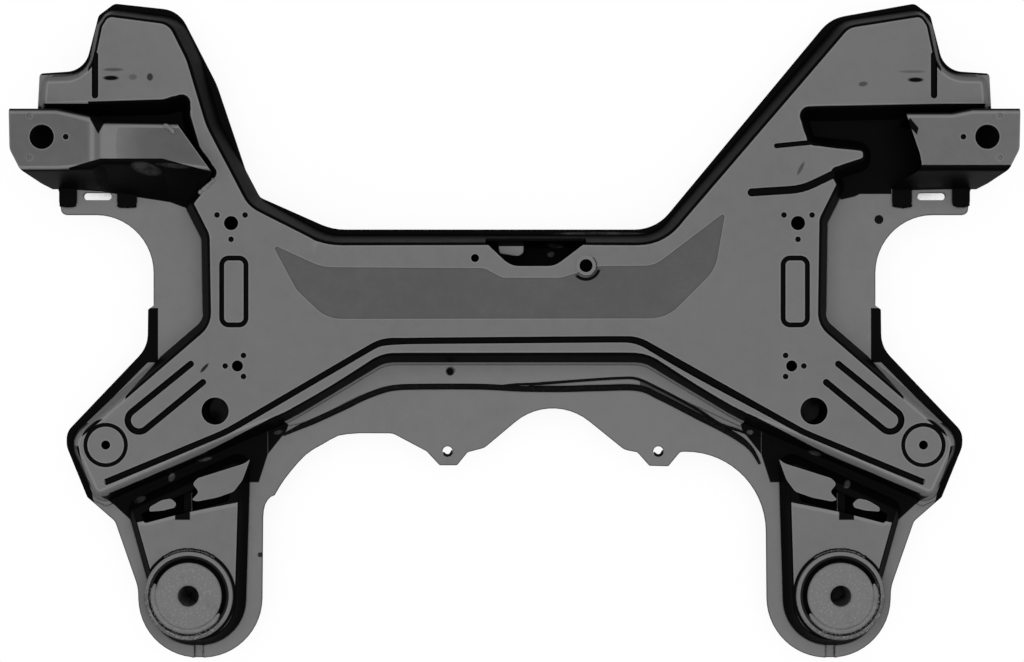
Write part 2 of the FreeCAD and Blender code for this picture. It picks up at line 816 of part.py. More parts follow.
def lower_shell():
    """Return the lower pressing: belly pan, seam flange, skirt and raised lobe boxes."""
    thick = size("sheet_thick")
    seam = size("seam_level")
    run = size("belly_run")
    pad = size("pad_level")
    outline = plateau_outline()
    flange = prism(lower_seam_outline(), seam - thick, seam)
    pan = drafted(outline, 0, grown(outline, run), seam - thick)
    pan = rounded_at(pan, 0, size("shoulder_radius"))
    slope = run / (seam - thick)
    hollow = drafted(grown(outline, slope * thick - thick), thick,
                     grown(outline, slope * (seam + CLEAR) - thick), seam + CLEAR)
    hollow = rounded_at(hollow, thick, size("shoulder_radius") - thick)
    pad_run = size("pad_run")
    pad_slope = pad_run / (pad - seam)
    raised = [pan]
    hollows = [hollow]
    for side, _ in SIDES:
        points = pad_outline(side)
        block = drafted(points, seam, grown(points, -pad_run), pad)
        raised.append(rounded_at(block, pad, size("pad_shoulder")))
        raised.append(drain_bead(side, thick))
        low_points = grown(points, pad_slope * (thick + CLEAR) - thick)
        high_points = grown(points, -pad_run + pad_slope * thick - thick)
        hollows.append(drafted(low_points, seam - thick - CLEAR, high_points, pad - thick))
    shell = flange.fuse(raised).cut(hollows)
    return shell.cut(lower_openings())


def drain_bead(side, grow):
    """Return the channel pressed into the rim of one lobe, grown by the sheet for its skin."""
    bush_x, bush_y = bush_place()
    across = side * (bush_x - size("drain_bead_x"))
    half = size("drain_bead_width") / 2 + grow
    high = size("seam_level")
    low = high - size("drain_bead_depth") - grow
    near = bush_y + size("drain_bead_inner") + grow
    far = bush_y + size("drain_bead_outer")
    points = [(across - half, far, LEAST_ROUND), (across + half, far, LEAST_ROUND)]
    points += [(across + half, near, half), (across - half, near, half)]
    return prism(points, low, high)


def lower_openings():
    """Return every hole, slot and pocket cut through the lower shell."""
    seam = size("seam_level")
    pad = size("pad_level")
    tools = []
    for side, _ in SIDES:
        bush_x, bush_y = bush_place()
        tools.append(cylinder(side * bush_x, bush_y, cup_outer(), seam - CLEAR, pad + CLEAR))
        tools.append(prism(pocket_outline(side), seam + CLEAR, pad + CLEAR))
        tools.append(drain_bead(side, 0.0))
        bolt_x = side * size("arm_bolt_spacing") / 2
        tools.append(cylinder(bolt_x, size("arm_bolt_y"), size("arm_bolt_radius"), -CLEAR, seam))
        tools.append(tab_slot(side))
    for name in ("skirt_hole_left_x", "skirt_hole_right_x"):
        tools.append(cylinder(size(name), size("skirt_hole_y"), size("skirt_hole_radius"), 0, pad))
    tools.append(cylinder(size("clip_hole_x"), size("clip_hole_y"), size("clip_hole_radius"), 0, pad))
    return tools


def cup_outer():
    """Return the outside radius of the bush cup."""
    return size("bush_outer_radius") + size("cup_wall")


def pocket_tray(side):
    """Return the open tray under a lobe pocket, with the web that divides it."""
    thick = size("tray_thick")
    floor = size("tray_floor_level")
    rim = size("pad_level")
    outline = pocket_outline(side)
    outer = prism(outline, floor, rim)
    inner = prism(grown(outline, -thick), floor + thick, rim + CLEAR)
    box = outer.BoundBox
    web_thick = size("tray_web_thick")
    web_height = rim - floor - size("tray_web_drop")
    corner_place = Vector((box.XMin + box.XMax - web_thick) / 2, box.YMin, floor)
    web = Part.makeBox(web_thick, box.YLength, web_height, corner_place)
    return fused([outer.cut(inner), web.common(outer)])


# Document objects
def add_feature(label, shape):
    """Add one sub-part whose shape is built from the sheet's outlines."""
    feature = doc.addObject("Part::Feature", label)
    feature.Label = label
    feature.Shape = shape
    feature.Placement = Placement(Vector(0, 0, 0), Rotation())
    parts.append(feature)
    return feature


def new_body(label, place):
    """Add an empty body at a place given by sheet expressions."""
    body = doc.addObject("PartDesign::Body", label)
    body.Label = label
    body.Placement = Placement(Vector(place[0].number, place[1].number, place[2].number), Rotation())
    for axis, coordinate in zip("xyz", place):
        body.setExpression("Placement.Base." + axis, coordinate.text)
    parts.append(body)
    return body


def new_sketch(body, name, role):
    """Add a sketch on one of the body's own origin planes."""
    sketch = body.newObject("Sketcher::SketchObject", name)
    plane = next(item for item in body.Origin.OriginFeatures if item.Role == role)
    sketch.AttachmentSupport = [(plane, "")]
    sketch.MapMode = "FlatFace"
    return sketch


def bind(sketch, constraint, expression):
    """Add one constraint and tie it to the sheet."""
    index = sketch.addConstraint(constraint)
    sketch.setExpression("Constraints[%d]" % index, expression)


def draw_polygon(sketch, points):
    """Draw a closed polygon whose corners are tied to the sheet."""
    count = len(points)
    first = sketch.GeometryCount
    for i, here in enumerate(points):
        after = points[(i + 1) % count]
        start = Vector(here[0].number, here[1].number, 0)
        end = Vector(after[0].number, after[1].number, 0)
        sketch.addGeometry(Part.LineSegment(start, end), False)
    for i, here in enumerate(points):
        line = first + i
        sketch.addConstraint(Sketcher.Constraint("Coincident", line, 2, first + (i + 1) % count, 1))
        bind(sketch, Sketcher.Constraint("DistanceX", -1, 1, line, 1, here[0].number), here[0].text)
        bind(sketch, Sketcher.Constraint("DistanceY", -1, 1, line, 1, here[1].number), here[1].text)


def turned(label, place, profile):
    """Add a turned piece: a closed profile of radius and height about an upright axis."""
    body = new_body(label, place)
    sketch = new_sketch(body, label + "_profile", "XZ_Plane")
    draw_polygon(sketch, profile)
    turning = body.newObject("PartDesign::Revolution", label + "_turning")
    turning.Profile = sketch
    turning.ReferenceAxis = (sketch, ["V_Axis"])
    turning.Angle = 360
    sketch.Visibility = False
    return body


def tube_profile(bore, outer, low, high):
    """Return the corners of a plain tube's section."""
    return [(bore, low), (outer, low), (outer, high), (bore, high)]


# Turned and welded pieces
def bush_pieces(side, name):
    """Add the cup, bush and cover disc of one rear lobe."""
    place = (dim("bush_spacing") * (side * 0.5), dim("bush_y"), ZERO)
    bore = dim("bush_bore_radius")
    core = dim("bush_inner_radius")
    sleeve_outer = dim("bush_outer_radius")
    sleeve_inner = sleeve_outer - dim("bush_sleeve_wall")
    cup_wall = sleeve_outer + dim("cup_wall")
    cup_top = dim("cup_top_level")
    end_gap = dim("rubber_end_gap")
    top = dim("bush_top_level")
    disc_bottom = top - dim("bush_disc_thick")
    turned("bush_cup_" + name, place, tube_profile(sleeve_outer, cup_wall, ZERO, cup_top))
    turned("bush_outer_sleeve_" + name, place, tube_profile(sleeve_inner, sleeve_outer, end_gap, cup_top))
    turned("bush_inner_sleeve_" + name, place, tube_profile(bore, core, ZERO, disc_bottom))
    rubber_top = disc_bottom - end_gap
    waist = dim("rubber_waist")
    rubber = [
        (core, end_gap), (core + waist, end_gap + waist), (sleeve_inner - waist, end_gap + waist),
        (sleeve_inner, end_gap), (sleeve_inner, rubber_top), (sleeve_inner - waist, rubber_top - waist),
        (core + waist, rubber_top - waist), (core, rubber_top),
    ]
    turned("bush_rubber_" + name, place, rubber)
    turned("bush_disc_" + name, place, tube_profile(bore, dim("bush_disc_radius"), disc_bottom, top))


def spacer(side, name):
    """Add the tube that keeps the shells apart at the control arm bolt."""
    thick = dim("sheet_thick")
    place = (dim("arm_bolt_spacing") * (side * 0.5), dim("arm_bolt_y"), thick)
    height = dim("plateau_level") - thick * 2
    bore = dim("arm_bolt_radius")
    turned("arm_bolt_spacer_" + name, place, tube_profile(bore, bore + dim("spacer_wall"), ZERO, height))


def weld_nut(label, place, bore, wall, height):
    """Add a round weld nut below a sheet."""
    turned(label, place, tube_profile(bore, bore + wall, ZERO, height))


def plateau_nuts(side, name):
    """Add the weld nuts under one side of the plateau."""
    underside = dim("plateau_level") - dim("sheet_thick")
    height = dim("nut_height")
    rack = (dim("rack_nut_spacing") * (side * 0.5), dim("rack_nut_y"), underside - height)
    weld_nut("rack_nut_" + name, rack, dim("rack_nut_radius"), dim("nut_wall"), height)
    stay = (dim("stay_nut_spacing") * (side * 0.5), dim("stay_nut_y"), underside - height)
    weld_nut("stay_nut_" + name, stay, dim("stay_nut_radius"), dim("nut_wall"), height)
    boss = (dim("boss_spacing") * (side * 0.5), dim("boss_y"), underside - height)
    bore = dim("boss_hole_radius")
    weld_nut("boss_nut_" + name, boss, bore, dim("boss_nut_radius") - bore, height)


def locating_collar():
    """Add the proud collar beside the access notch."""
    bottom = dim("plateau_level") - dim("collar_depth")
    bore = dim("collar_bore_radius")
    place = (dim("collar_x"), dim("collar_y"), bottom)
    height = dim("collar_depth") + dim("collar_proud")
    turned("locating_collar", place, tube_profile(bore, bore + dim("collar_wall"), ZERO, height))


# Horn brackets
def hat_wire(name, spread, drop):
    """Return one cross section of a bracket, moved in by a spread for its hollow."""
    hole_x, hole_y = horn_place()
    seat = size("seam_level") + size("sheet_thick")
    crest = size("bracket_level") - size(name + "_drop")
    rear = hole_y + size(name + "_rear")
    front = hole_y + size(name + "_front")
    foot = hole_y + size(name + "_foot")
    rear_slope = size("bracket_rear_lean") / (crest - seat)
    front_slope = (front - foot) / (crest - seat)
    low = seat - drop
    radius = size("bracket_ridge_radius")
    points = [
        (rear - rear_slope * (crest - low), low, LEAST_ROUND), (rear, crest, radius),
        (front, crest, radius), (front - front_slope * (crest - low), low, LEAST_ROUND),
    ]
    wire = rounded_wire(grown(points, -spread), hole_x + size(name + "_out"))
    wire.rotate(Vector(0, 0, 0), Vector(1, 1, 1), 120)
    return wire


def hat_section(stations):
    """Return the folded sheet that runs through a bracket's cross sections."""
    thick = size("bracket_thick")
    outer = Part.makeLoft([hat_wire(row[0], 0.0, 0.0) for row in stations], True, True)
    wires = [hat_wire(row[0], thick, thick * 2) for row in stations]
    wires[0].translate(Vector(thick, 0, 0))
    wires[-1].translate(Vector(-thick, 0, 0))
    return outer.cut(Part.makeLoft(wires, True, True))


def foot_plate(near_name, far_name):
    """Return one foot that a bracket stands on, between two distances from the hole."""
    hole_x, hole_y = horn_place()
    seat = size("seam_level") + size("sheet_thick")
    near = hole_x + size(near_name)
    far = hole_x + size(far_name)
    reach = hole_y + size("foot_reach")
    root = hole_y + size("foot_root")
    rounding = size("foot_corner")
    points = [(near, reach, rounding), (far, reach, rounding)]
    points += [(far, root, LEAST_ROUND), (near, root, LEAST_ROUND)]
    return prism(points, seat, seat + size("bracket_thick"))


def bracket(side, stations, plan_inner, plateau):
    """Return one horn bracket: a folded hat section trimmed in plan and against the plateau."""
    hole_x, hole_y = horn_place()
    top = size("bracket_level")
    seat = size("seam_level") + size("sheet_thick")
    shape = hat_section(stations)
    feet = [foot_plate("foot_far_in", "foot_far_out"), foot_plate("foot_near_in", "foot_near_out")]
    plan = corners(STAY_PLAN_OUTER, RIGHT, horn_place()) + corners(plan_inner, RIGHT, horn_place())
    shape = shape.common(prism(plan, seat, top + CLEAR)).fuse(feet)
    hole = cylinder(hole_x, hole_y, size("horn_hole_radius"), seat, top + CLEAR)
    shape = shape.cut([hole] + pip_tools(hole_x, hole_y, top, size("horn_pip_circle"), 180))
    if side == LEFT:
        shape = shape.mirror(Vector(0, 0, 0), Vector(1, 0, 0))
    trimmed = shape.cut(plateau)
    return max(trimmed.Solids, key=lambda solid: solid.Volume)


def horn_nut(side, name):
    """Add the thick weld nut below a horn bracket's plate."""
    height = dim("horn_nut_height")
    bottom = dim("bracket_level") - dim("bracket_thick") - height
    place = (dim("horn_hole_spacing") * (side * 0.5), dim("horn_hole_y"), bottom)
    bore = dim("horn_hole_radius")
    weld_nut("horn_nut_" + name, place, bore, dim("horn_nut_radius") - bore, height)


def check_document():
    """Stop if any object failed or any sub-part has no valid solid."""
    for item in doc.Objects:
        if "Invalid" in item.State or "Error" in item.State:
            raise RuntimeError("%s is %s" % (item.Label, item.State))
    for item in parts:
        if item.Shape.isNull() or not item.Shape.isValid() or not item.Shape.Solids:
            raise RuntimeError("%s has no valid solid" % item.Label)


def export_parts():
    """Write each sub-part to a file of its own."""
    os.makedirs("parts", exist_ok=True)
    for item in parts:
        item.Shape.exportStep("parts/%s.step" % item.Label)
        print(item.Label, round(item.Shape.Volume), len(item.Shape.Faces), len(item.Shape.Solids))


fill_sheet()
plateau = plateau_block()
add_feature("upper_shell", upper_shell(plateau))
add_feature("lower_shell", lower_shell())
for side, name in SIDES:
    add_feature("pocket_tray_" + name, pocket_tray(side))
    bush_pieces(side, name)
    spacer(side, name)
    plateau_nuts(side, name)
    horn_nut(side, name)
add_feature("horn_bracket_left", bracket(LEFT, STAY_LEFT, STAY_PLAN_LEFT, plateau))
add_feature("horn_bracket_right", bracket(RIGHT, STAY_RIGHT, STAY_PLAN_RIGHT, plateau))
locating_collar()
doc.recompute()
check_document()
export_parts()
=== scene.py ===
import json
import logging
import math
from dataclasses import dataclass
from enum import Enum
from functools import reduce

import bmesh
import bpy
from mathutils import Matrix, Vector

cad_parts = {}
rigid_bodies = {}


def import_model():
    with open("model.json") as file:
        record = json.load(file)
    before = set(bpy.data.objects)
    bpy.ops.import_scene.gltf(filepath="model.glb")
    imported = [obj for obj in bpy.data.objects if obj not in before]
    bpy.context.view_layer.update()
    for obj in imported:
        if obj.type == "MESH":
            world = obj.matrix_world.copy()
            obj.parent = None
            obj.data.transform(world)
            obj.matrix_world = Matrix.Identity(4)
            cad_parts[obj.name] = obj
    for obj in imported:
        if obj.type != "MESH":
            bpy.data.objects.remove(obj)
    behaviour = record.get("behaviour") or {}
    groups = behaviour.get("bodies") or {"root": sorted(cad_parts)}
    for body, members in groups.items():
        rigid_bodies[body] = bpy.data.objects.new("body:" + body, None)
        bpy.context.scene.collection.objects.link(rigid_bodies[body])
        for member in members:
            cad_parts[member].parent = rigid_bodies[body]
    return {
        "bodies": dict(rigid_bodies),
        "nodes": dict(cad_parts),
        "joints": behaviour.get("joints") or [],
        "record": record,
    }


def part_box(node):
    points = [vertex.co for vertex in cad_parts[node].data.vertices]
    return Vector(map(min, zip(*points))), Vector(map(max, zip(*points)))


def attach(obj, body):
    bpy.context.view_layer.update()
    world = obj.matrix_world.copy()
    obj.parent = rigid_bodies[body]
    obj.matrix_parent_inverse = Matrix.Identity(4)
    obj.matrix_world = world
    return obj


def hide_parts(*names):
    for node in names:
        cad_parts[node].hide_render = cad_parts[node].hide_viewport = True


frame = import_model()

LOG = logging.getLogger("subframe")
MM = 0.001
BODY = "root"
BUSH = (323.0, -261.0)
SMOOTH_BELOW = 38.0
LEG_SHARE = 0.45
TOUCH = 1e-6


class Slot(Enum):
    """The record's material slots that new pieces take their finish from."""

    COATED_STEEL = "coated_steel"
    COATED_CUP = "coated_cup"
    BRIGHT_SLEEVE = "bright_sleeve"
    DISC_STEEL = "disc_steel"
    NUT_STEEL = "nut_steel"
    BUSH_RUBBER = "bush_rubber"


class Side(Enum):
    """The two sides of the frame, with the sign of X on each."""

    LEFT = -1
    RIGHT = 1

    @property
    def word(self) -> str:
        """Return the side's name as node names spell it."""
        return self.name.lower()


class Signal:
    """One node output, with Python's operators adding the Math nodes between outputs."""

    def __init__(self, owner: "NodeTree", socket: bpy.types.NodeSocket) -> None:
        """Keep the tree that owns the socket."""
        self.owner = owner
        self.socket = socket

    def _math(self, kind: str, *values: "Signal | float") -> "Signal":
        """Return the output of a Math node of one kind."""
        return self.owner.node("ShaderNodeMath", "Value", {"operation": kind}, dict(enumerate(values)))

    def __add__(self, other: "Signal | float") -> "Signal":
        """Return the sum."""
        return self._math("ADD", self, other)

    __radd__ = __add__

    def __sub__(self, other: "Signal | float") -> "Signal":
        """Return the difference."""
        return self._math("SUBTRACT", self, other)

    def __rsub__(self, other: float) -> "Signal":
        """Return a number less this signal."""
        return self._math("SUBTRACT", other, self)

    def __mul__(self, other: "Signal | float") -> "Signal":
        """Return the product."""
        return self._math("MULTIPLY", self, other)

    __rmul__ = __mul__

    def __truediv__(self, other: "Signal | float") -> "Signal":
        """Return the quotient."""
        return self._math("DIVIDE", self, other)

    def __gt__(self, other: "Signal | float") -> "Signal":
        """Return 1 where this signal is the larger."""
        return self._math("GREATER_THAN", self, other)

    def __lt__(self, other: "Signal | float") -> "Signal":
        """Return 1 where this signal is the smaller."""
        return self._math("LESS_THAN", self, other)

    def __abs__(self) -> "Signal":
        """Return the size without its sign."""
        return self._math("ABSOLUTE", self)

    def least(self, other: "Signal | float") -> "Signal":
        """Return the smaller of two signals."""
        return self._math("MINIMUM", self, other)

    def most(self, other: "Signal | float") -> "Signal":
        """Return the larger of two signals."""
        return self._math("MAXIMUM", self, other)

    def ramp(self, low: float, high: float) -> "Signal":
        """Return a smooth step that is 0 below low and 1 above high.

        Args:
            low: Value at which the step starts.
            high: Value at which it ends.

        Returns:
            The stepped signal.
        """
        values = {"Value": self, "From Min": low, "From Max": high, "To Min": 0.0, "To Max": 1.0}
        return self.owner.node("ShaderNodeMapRange", "Result", {"interpolation_type": "SMOOTHSTEP"}, values)

    def root(self) -> "Signal":
        """Return the square root."""
        return self._math("SQRT", self)

    def between(self, low: float, high: float, soft: float) -> "Signal":
        """Return 1 inside a band of values, with soft edges.

        Args:
            low: Lower edge of the band.
            high: Upper edge of the band.
            soft: Width of each edge.

        Returns:
            The band's mask.
        """
        return self.ramp(low - soft, low) * (1 - self.ramp(high, high + soft))

    def within(self, low: float, high: float) -> "Signal":
        """Return 1 where this length lies between two values in millimetres."""
        return (self > low * MM) * (self < high * MM)


class NodeTree:
    """A node tree of any kind, with one way to add a node to it."""

    tree: bpy.types.NodeTree

    def node(self, kind: str, output: "str | int", settings: dict, values: dict) -> Signal:
        """Add one node and return one of its outputs.

        Args:
            kind: The node's type name.
            output: Name or number of the output that is returned.
            settings: Attributes, set before the inputs.
            values: Input name or number to a signal or a plain value.

        Returns:
            The named output.
        """
        made = self.tree.nodes.new(kind)
        for key, value in settings.items():
            setattr(made, key, value)
        for key, value in values.items():
            if isinstance(value, Signal):
                self.tree.links.new(value.socket, made.inputs[key])
            else:
                made.inputs[key].default_value = value
        return Signal(self, made.outputs[output])


class Shader(NodeTree):
    """A material's node tree, with short ways to add nodes to it."""

    def __init__(self, name: str) -> None:
        """Start a material with an empty tree and its output.

        Args:
            name: The material's name.
        """
        self.material = bpy.data.materials.new(name)
        self.material.use_nodes = True
        self.tree = self.material.node_tree
        self.tree.nodes.clear()
        self.output = self.tree.nodes.new("ShaderNodeOutputMaterial")

    def place(self) -> Signal:
        """Return the object's own coordinates."""
        return self.node("ShaderNodeTexCoord", "Object", {}, {})

    def facing(self) -> Signal:
        """Return the smooth normal in the object's own frame."""
        return self.node("ShaderNodeTexCoord", "Normal", {}, {})

    def axis(self, vector: Signal, letter: str) -> Signal:
        """Return one coordinate of a vector."""
        return self.node("ShaderNodeSeparateXYZ", letter, {}, {"Vector": vector})

    def spot(self) -> "Spot":
        """Return the shaded point's place in the object's own coordinates."""
        place = self.place()
        return Spot(*(self.axis(place, letter) for letter in "XYZ"))

    def noise(self, scale: float, detail: float = 3.0, rough: float = 0.5) -> Signal:
        """Return fractal noise on object coordinates.

        Args:
            scale: Cells per metre.
            detail: Number of octaves.
            rough: Strength of the finer octaves.

        Returns:
            Noise from 0 to 1 about a half.
        """
        values = {"Vector": self.place(), "Scale": scale, "Detail": detail, "Roughness": rough}
        return self.node("ShaderNodeTexNoise", "Fac", {}, values)

    def mix(self, factor: "Signal | float", first: "Signal | tuple", second: "Signal | tuple") -> Signal:
        """Return a colour mixed from two.

        Args:
            factor: Share of the second colour.
            first: Colour where the factor is 0.
            second: Colour where the factor is 1.

        Returns:
            The mixed colour.
        """
        values = {0: factor, 6: first, 7: second}
        return self.node("ShaderNodeMix", 2, {"data_type": "RGBA"}, values)

    def bump(self, height: Signal, distance: float, strength: float = 1.0) -> Signal:
        """Return a normal bent by a height signal.

        Args:
            height: The relief, from 0 to 1.
            distance: Depth of the relief in metres.
            strength: Share of the relief that is used.

        Returns:
            The bent normal.
        """
        values = {"Height": height, "Distance": distance, "Strength": strength}
        return self.node("ShaderNodeBump", "Normal", {}, values)

    def surface(self, values: dict) -> bpy.types.Material:
        """Finish the tree with a Principled surface.

        Args:
            values: Input name to a signal or a plain value.

        Returns:
            The finished material.
        """
        out = self.node("ShaderNodeBsdfPrincipled", "BSDF", {}, values)
        self.tree.links.new(out.socket, self.output.inputs["Surface"])
        return self.material


def grey(value: float) -> tuple:
    """Return an opaque grey of one linear value."""
    return (value, value, value, 1.0)


def union(*masks: Signal) -> Signal:
    """Return the greatest of several masks at every point."""
    return reduce(Signal.most, masks)


@dataclass(frozen=True)
class Spot:
    """A shaded point of the frame, in metres, with the measures in plan that the coats need."""

    x: Signal
    y: Signal
    z: Signal

    def folded(self) -> "Spot":
        """Return the point with the left side of the frame laid on the right one."""
        return Spot(abs(self.x), self.y, self.z)

    def offset(self, centre: tuple) -> tuple:
        """Return how far the point lies across and along, in metres, from a centre in millimetres."""
        return self.x - centre[0] * MM, self.y - centre[1] * MM

    def reach(self, centre: tuple) -> Signal:
        """Return the point's distance in plan, in metres, from a centre in millimetres."""
        over, rise = self.offset(centre)
        return (over * over + rise * rise).root()

    def over_line(self, start: tuple, end: tuple) -> Signal:
        """Return how far the point lies to the left of a line in plan.

        Args:
            start: First point of the line, in millimetres.
            end: Point that the line runs towards.

        Returns:
            The signed distance in metres.
        """
        run = math.dist(start, end)
        across = (start[1] - end[1]) / run
        along = (end[0] - start[0]) / run
        return self.x * across + self.y * along - (start[0] * across + start[1] * along) * MM

    def inside(self, *corners: tuple) -> Signal:
        """Return 1 inside a convex patch in plan, with soft edges.

        Args:
            corners: The patch's corners in millimetres, anticlockwise.

        Returns:
            The patch's mask.
        """
        depth = self.over_line(corners[-1], corners[0])
        for start, end in zip(corners, corners[1:]):
            depth = depth.least(self.over_line(start, end))
        return depth.ramp(-0.5 * MM, 0.5 * MM)


@dataclass(frozen=True)
class Mark:
    """One small ellipse on a flat, in millimetres and degrees: a pressed mark with painted shade in it, or a
    patch of painted highlight on the black.
    """

    across: float
    along: float
    long: float
    wide: float
    turn: float = 0.0
    depth: float = 1.0

    def mask(self, spot: Spot) -> Signal:
        """Return the mark's depth at every point.

        Args:
            spot: The shaded point.

        Returns:
            The depth, soft at its edge.
        """
        cosine = math.cos(math.radians(self.turn))
        sine = math.sin(math.radians(self.turn))
        right, up = spot.offset((self.across, self.along))
        run = (right * cosine + up * sine) / (self.long * MM)
        rise = (up * cosine - right * sine) / (self.wide * MM)
        return (1 - (run * run + rise * rise).ramp(0.35, 1.2)) * self.depth


def deepest(marks: tuple, spot: Spot) -> Signal:
    """Return the greatest depth of several marks at every point."""
    return union(*(mark.mask(spot) for mark in marks))


@dataclass(frozen=True)
class DipCoat:
    """The black dip coat: dull grey on upward flats as painted light from the overhead lamp, the coat's own
    black on walls, and painted shade in gaps.
    """

    name: str = "dip_coat"
    # Painted light: the greys of the level flats stand in for the overhead lamp's light on the black coat.
    flat: float = 0.178
    brim: float = 0.196
    plate: float = 0.150
    plate_left: float = 0.098
    panel: float = 0.095
    # Pale grey of the painted highlights on edges, shoulders and walls, and the pale end of the random
    # mottle.
    light: float = 0.300
    dark: float = 0.0028
    specular: float = 0.012
    level_up: float = 0.992
    flat_up: tuple = (0.93, 0.985)
    fold_up: tuple = (0.60, 0.92)
    shoulder_up: tuple = (0.70, 0.93)
    plateau_level: float = 66 * MM
    panel_level: float = 64.8 * MM
    plate_level: float = 72 * MM
    seam_level: float = 27 * MM
    foot_low: float = 33.5 * MM
    flange_level: float = 50 * MM
    pad_level: float = 52 * MM
    wall_low: float = 39 * MM
    wedge_tip: float = 229 * MM
    box_end: float = -405 * MM
    shelf_end: float = 460 * MM
    shelf_span: tuple = (226, 257.5)
    tip_start: float = 384 * MM
    toe_slope: float = 0.16
    toe_edge: float = 448.1
    bay_edge: float = 356.5 * MM
    pocket_start: float = 255 * MM
    hair: float = 0.25 * MM
    edge_reach: float = 3.0 * MM
    edge_samples: int = 6
    rim_tilt: tuple = (0.012, 0.10)
    rear_rim_tilt: tuple = (0.03, 0.11)
    bend_light: float = 0.6
    wall_light: float = 0.8
    rear_rim_shade: float = 0.85
    seam_shade: float = 0.7
    outer_share: float = 0.6
    sheen_streak_share: float = 0.08
    sheen_share: float = 0.5
    roughness: tuple = (0.36, 0.20, 0.12)
    relief: tuple = (0.3, 0.2)
    relief_depth: float = 0.4 * MM
    relief_share: float = 0.3
    mottle: tuple = (70.0, 4.0, 0.6)
    grain: tuple = (700.0, 2.0, 0.6)
    smear: tuple = (11.0, 3.0, 0.55)
    unevenness: tuple = (0.22, 0.16, 0.12)
    collar: tuple = (70.5, 66.0)
    arm_ring: tuple = (403.7, -109.5)
    horn_pip: tuple = (439.0, 191.5)
    pad_edge: tuple = ((361.7, -186.0), (261.7, -166.0))
    arm_edge: tuple = ((380.9, -44.2), (411.9, -75.4))
    seam_gap: tuple = ((125.5, -56.5), (200.5, -93.5), (200.5, -87.5), (125.5, -46.5))
    # Pressed marks: bumped into the sheet and painted black as painted shade; the last row is the painted
    # shade of a hole.
    marks: tuple = tuple(Mark(*row) for row in (
        (-398.3, 251.2, 8.5, 2.6), (-396.0, 259.5, 11, 1.8, 0, 0.5), (-376.6, 252.2, 4.5, 3.2, 0, 0.35),
        (-359.8, 252.2, 3.4, 4.2, 0, 0.8), (343.9, 245.3, 5, 2.6, 8, 0.6), (395.8, 249.4, 8.5, 2.6),
        (392.3, 257.5, 14, 1.6, 0, 0.35), (282.5, 162, 8, 1.9, 62, 0.55), (-306, -35, 6.5, 1.8, 48, 0.9),
        (-254.5, -222.5, 3, 2.8, 0, 0.9), (-64.5, -39, 4.6, 4.8),
    ))
    # Painted highlights: pale patches of painted sheen laid on the black walls and flats.
    sheen_patches: tuple = tuple(Mark(*row) for row in (
        (-362, 161, 15, 6, -12, 0.30), (-335, 163.5, 18, 2.2, -6, 0.22), (-310, -127, 8, 2, 12, 0.5),
        (-343, -145, 3, 5, -30, 0.6), (-236.5, -100, 5, 2.2, 15, 0.3), (235.5, -100, 3.6, 2.6, 0, 0.6),
        (300, -120.5, 7, 2.2, -20, 0.8), (331, -151, 5, 3, 35, 0.6), (41.5, 87.5, 9, 2, -5, 0.4),
        (37, 79, 4, 3, 10, 0.6), (85, 99, 48, 1.6, 0, 0.35), (-374, -167, 7, 3, 20, 0.35),
    ))

    def build(self) -> bpy.types.Material:
        """Mix the painted-light greys of the levels, their painted highlights and painted shade along edges,
        and the black of the walls.

        Returns:
            The finished material.
        """
        shop = Shader(self.name)
        spot = shop.spot()
        up = shop.axis(shop.facing(), "Z")
        mottle, grain, smear = (shop.noise(*row) for row in (self.mottle, self.grain, self.smear))
        level = up > self.level_up
        high = spot.z > self.flange_level
        plate = spot.z > self.plate_level
        panel = (abs(spot.z - self.panel_level) < self.hair) * level
        in_bead = (spot.z < self.panel_level - self.hair) * (spot.z > self.flange_level + 5 * MM)
        # Dents: real relief in the bump, and painted shade in the colour.
        dents = deepest(self.marks, spot) * level * (1 - plate)
        # Painted shade: flats in gaps, hollows, grooves and dents and on the bracket plates are painted
        # black.
        painted = union(self.shaded_flats(spot), self.rings(spot), dents, self.bracket(spot))
        # Painted light: some walls take the flats' lit grey.
        lit_wall = self.lit_walls(spot)
        open_flat = up.ramp(*self.flat_up) * (1 - in_bead)
        # Share of the lit grey: painted light on upward flats and lit walls, with the painted shade taken
        # out.
        lit_share = union(open_flat, up.ramp(*self.fold_up) * plate, lit_wall) * (1 - painted)

        on_box = (spot.x > self.box_end) * (1 - self.outer_share)
        left_plate = (spot.x < 0.0) * (self.outer_share + on_box)
        plate_grey = shop.mix(left_plate, grey(self.plate), grey(self.plate_left))
        base = shop.mix(plate, shop.mix(high, grey(self.brim), grey(self.flat)), plate_grey)
        base = shop.mix(panel, base, grey(self.panel))
        # Painted highlights: rims found from the bevel normal, rounded shoulders, the pad line and lit walls.
        tilt, inward = self.edges(shop)
        rim = tilt.ramp(*self.rim_tilt) * level * self.bend_light * (1 - panel)
        shoulder = up.ramp(*self.shoulder_up) * (1 - level) * (spot.z > self.plateau_level - 3 * MM)
        bend = shoulder.most(up.between(*self.flat_up, 0.02)) * self.bend_light
        wall_light = (1 - up.ramp(0.35, 0.9)) * lit_wall * self.wall_light
        base = shop.mix(union(bend, self.pad_rim(spot), wall_light, rim), base, grey(self.light))
        broad, middling, fine = self.unevenness
        uneven = (mottle - 0.5) * broad + (smear - 0.5) * middling + (grain - 0.5) * fine
        base = shop.mix(uneven.most(0.0), base, grey(self.light))
        # Painted shade: dark rims on the rear-facing edges of low flats, and in the gap by the seam.
        edge_shade = tilt.ramp(*self.rear_rim_tilt) * inward * level * (1 - high) * self.rear_rim_shade
        seam_shade = spot.inside(*self.seam_gap) * (1 - high) * self.seam_shade
        base = shop.mix(union(0.0 - uneven, edge_shade, seam_shade), base, grey(self.dark))

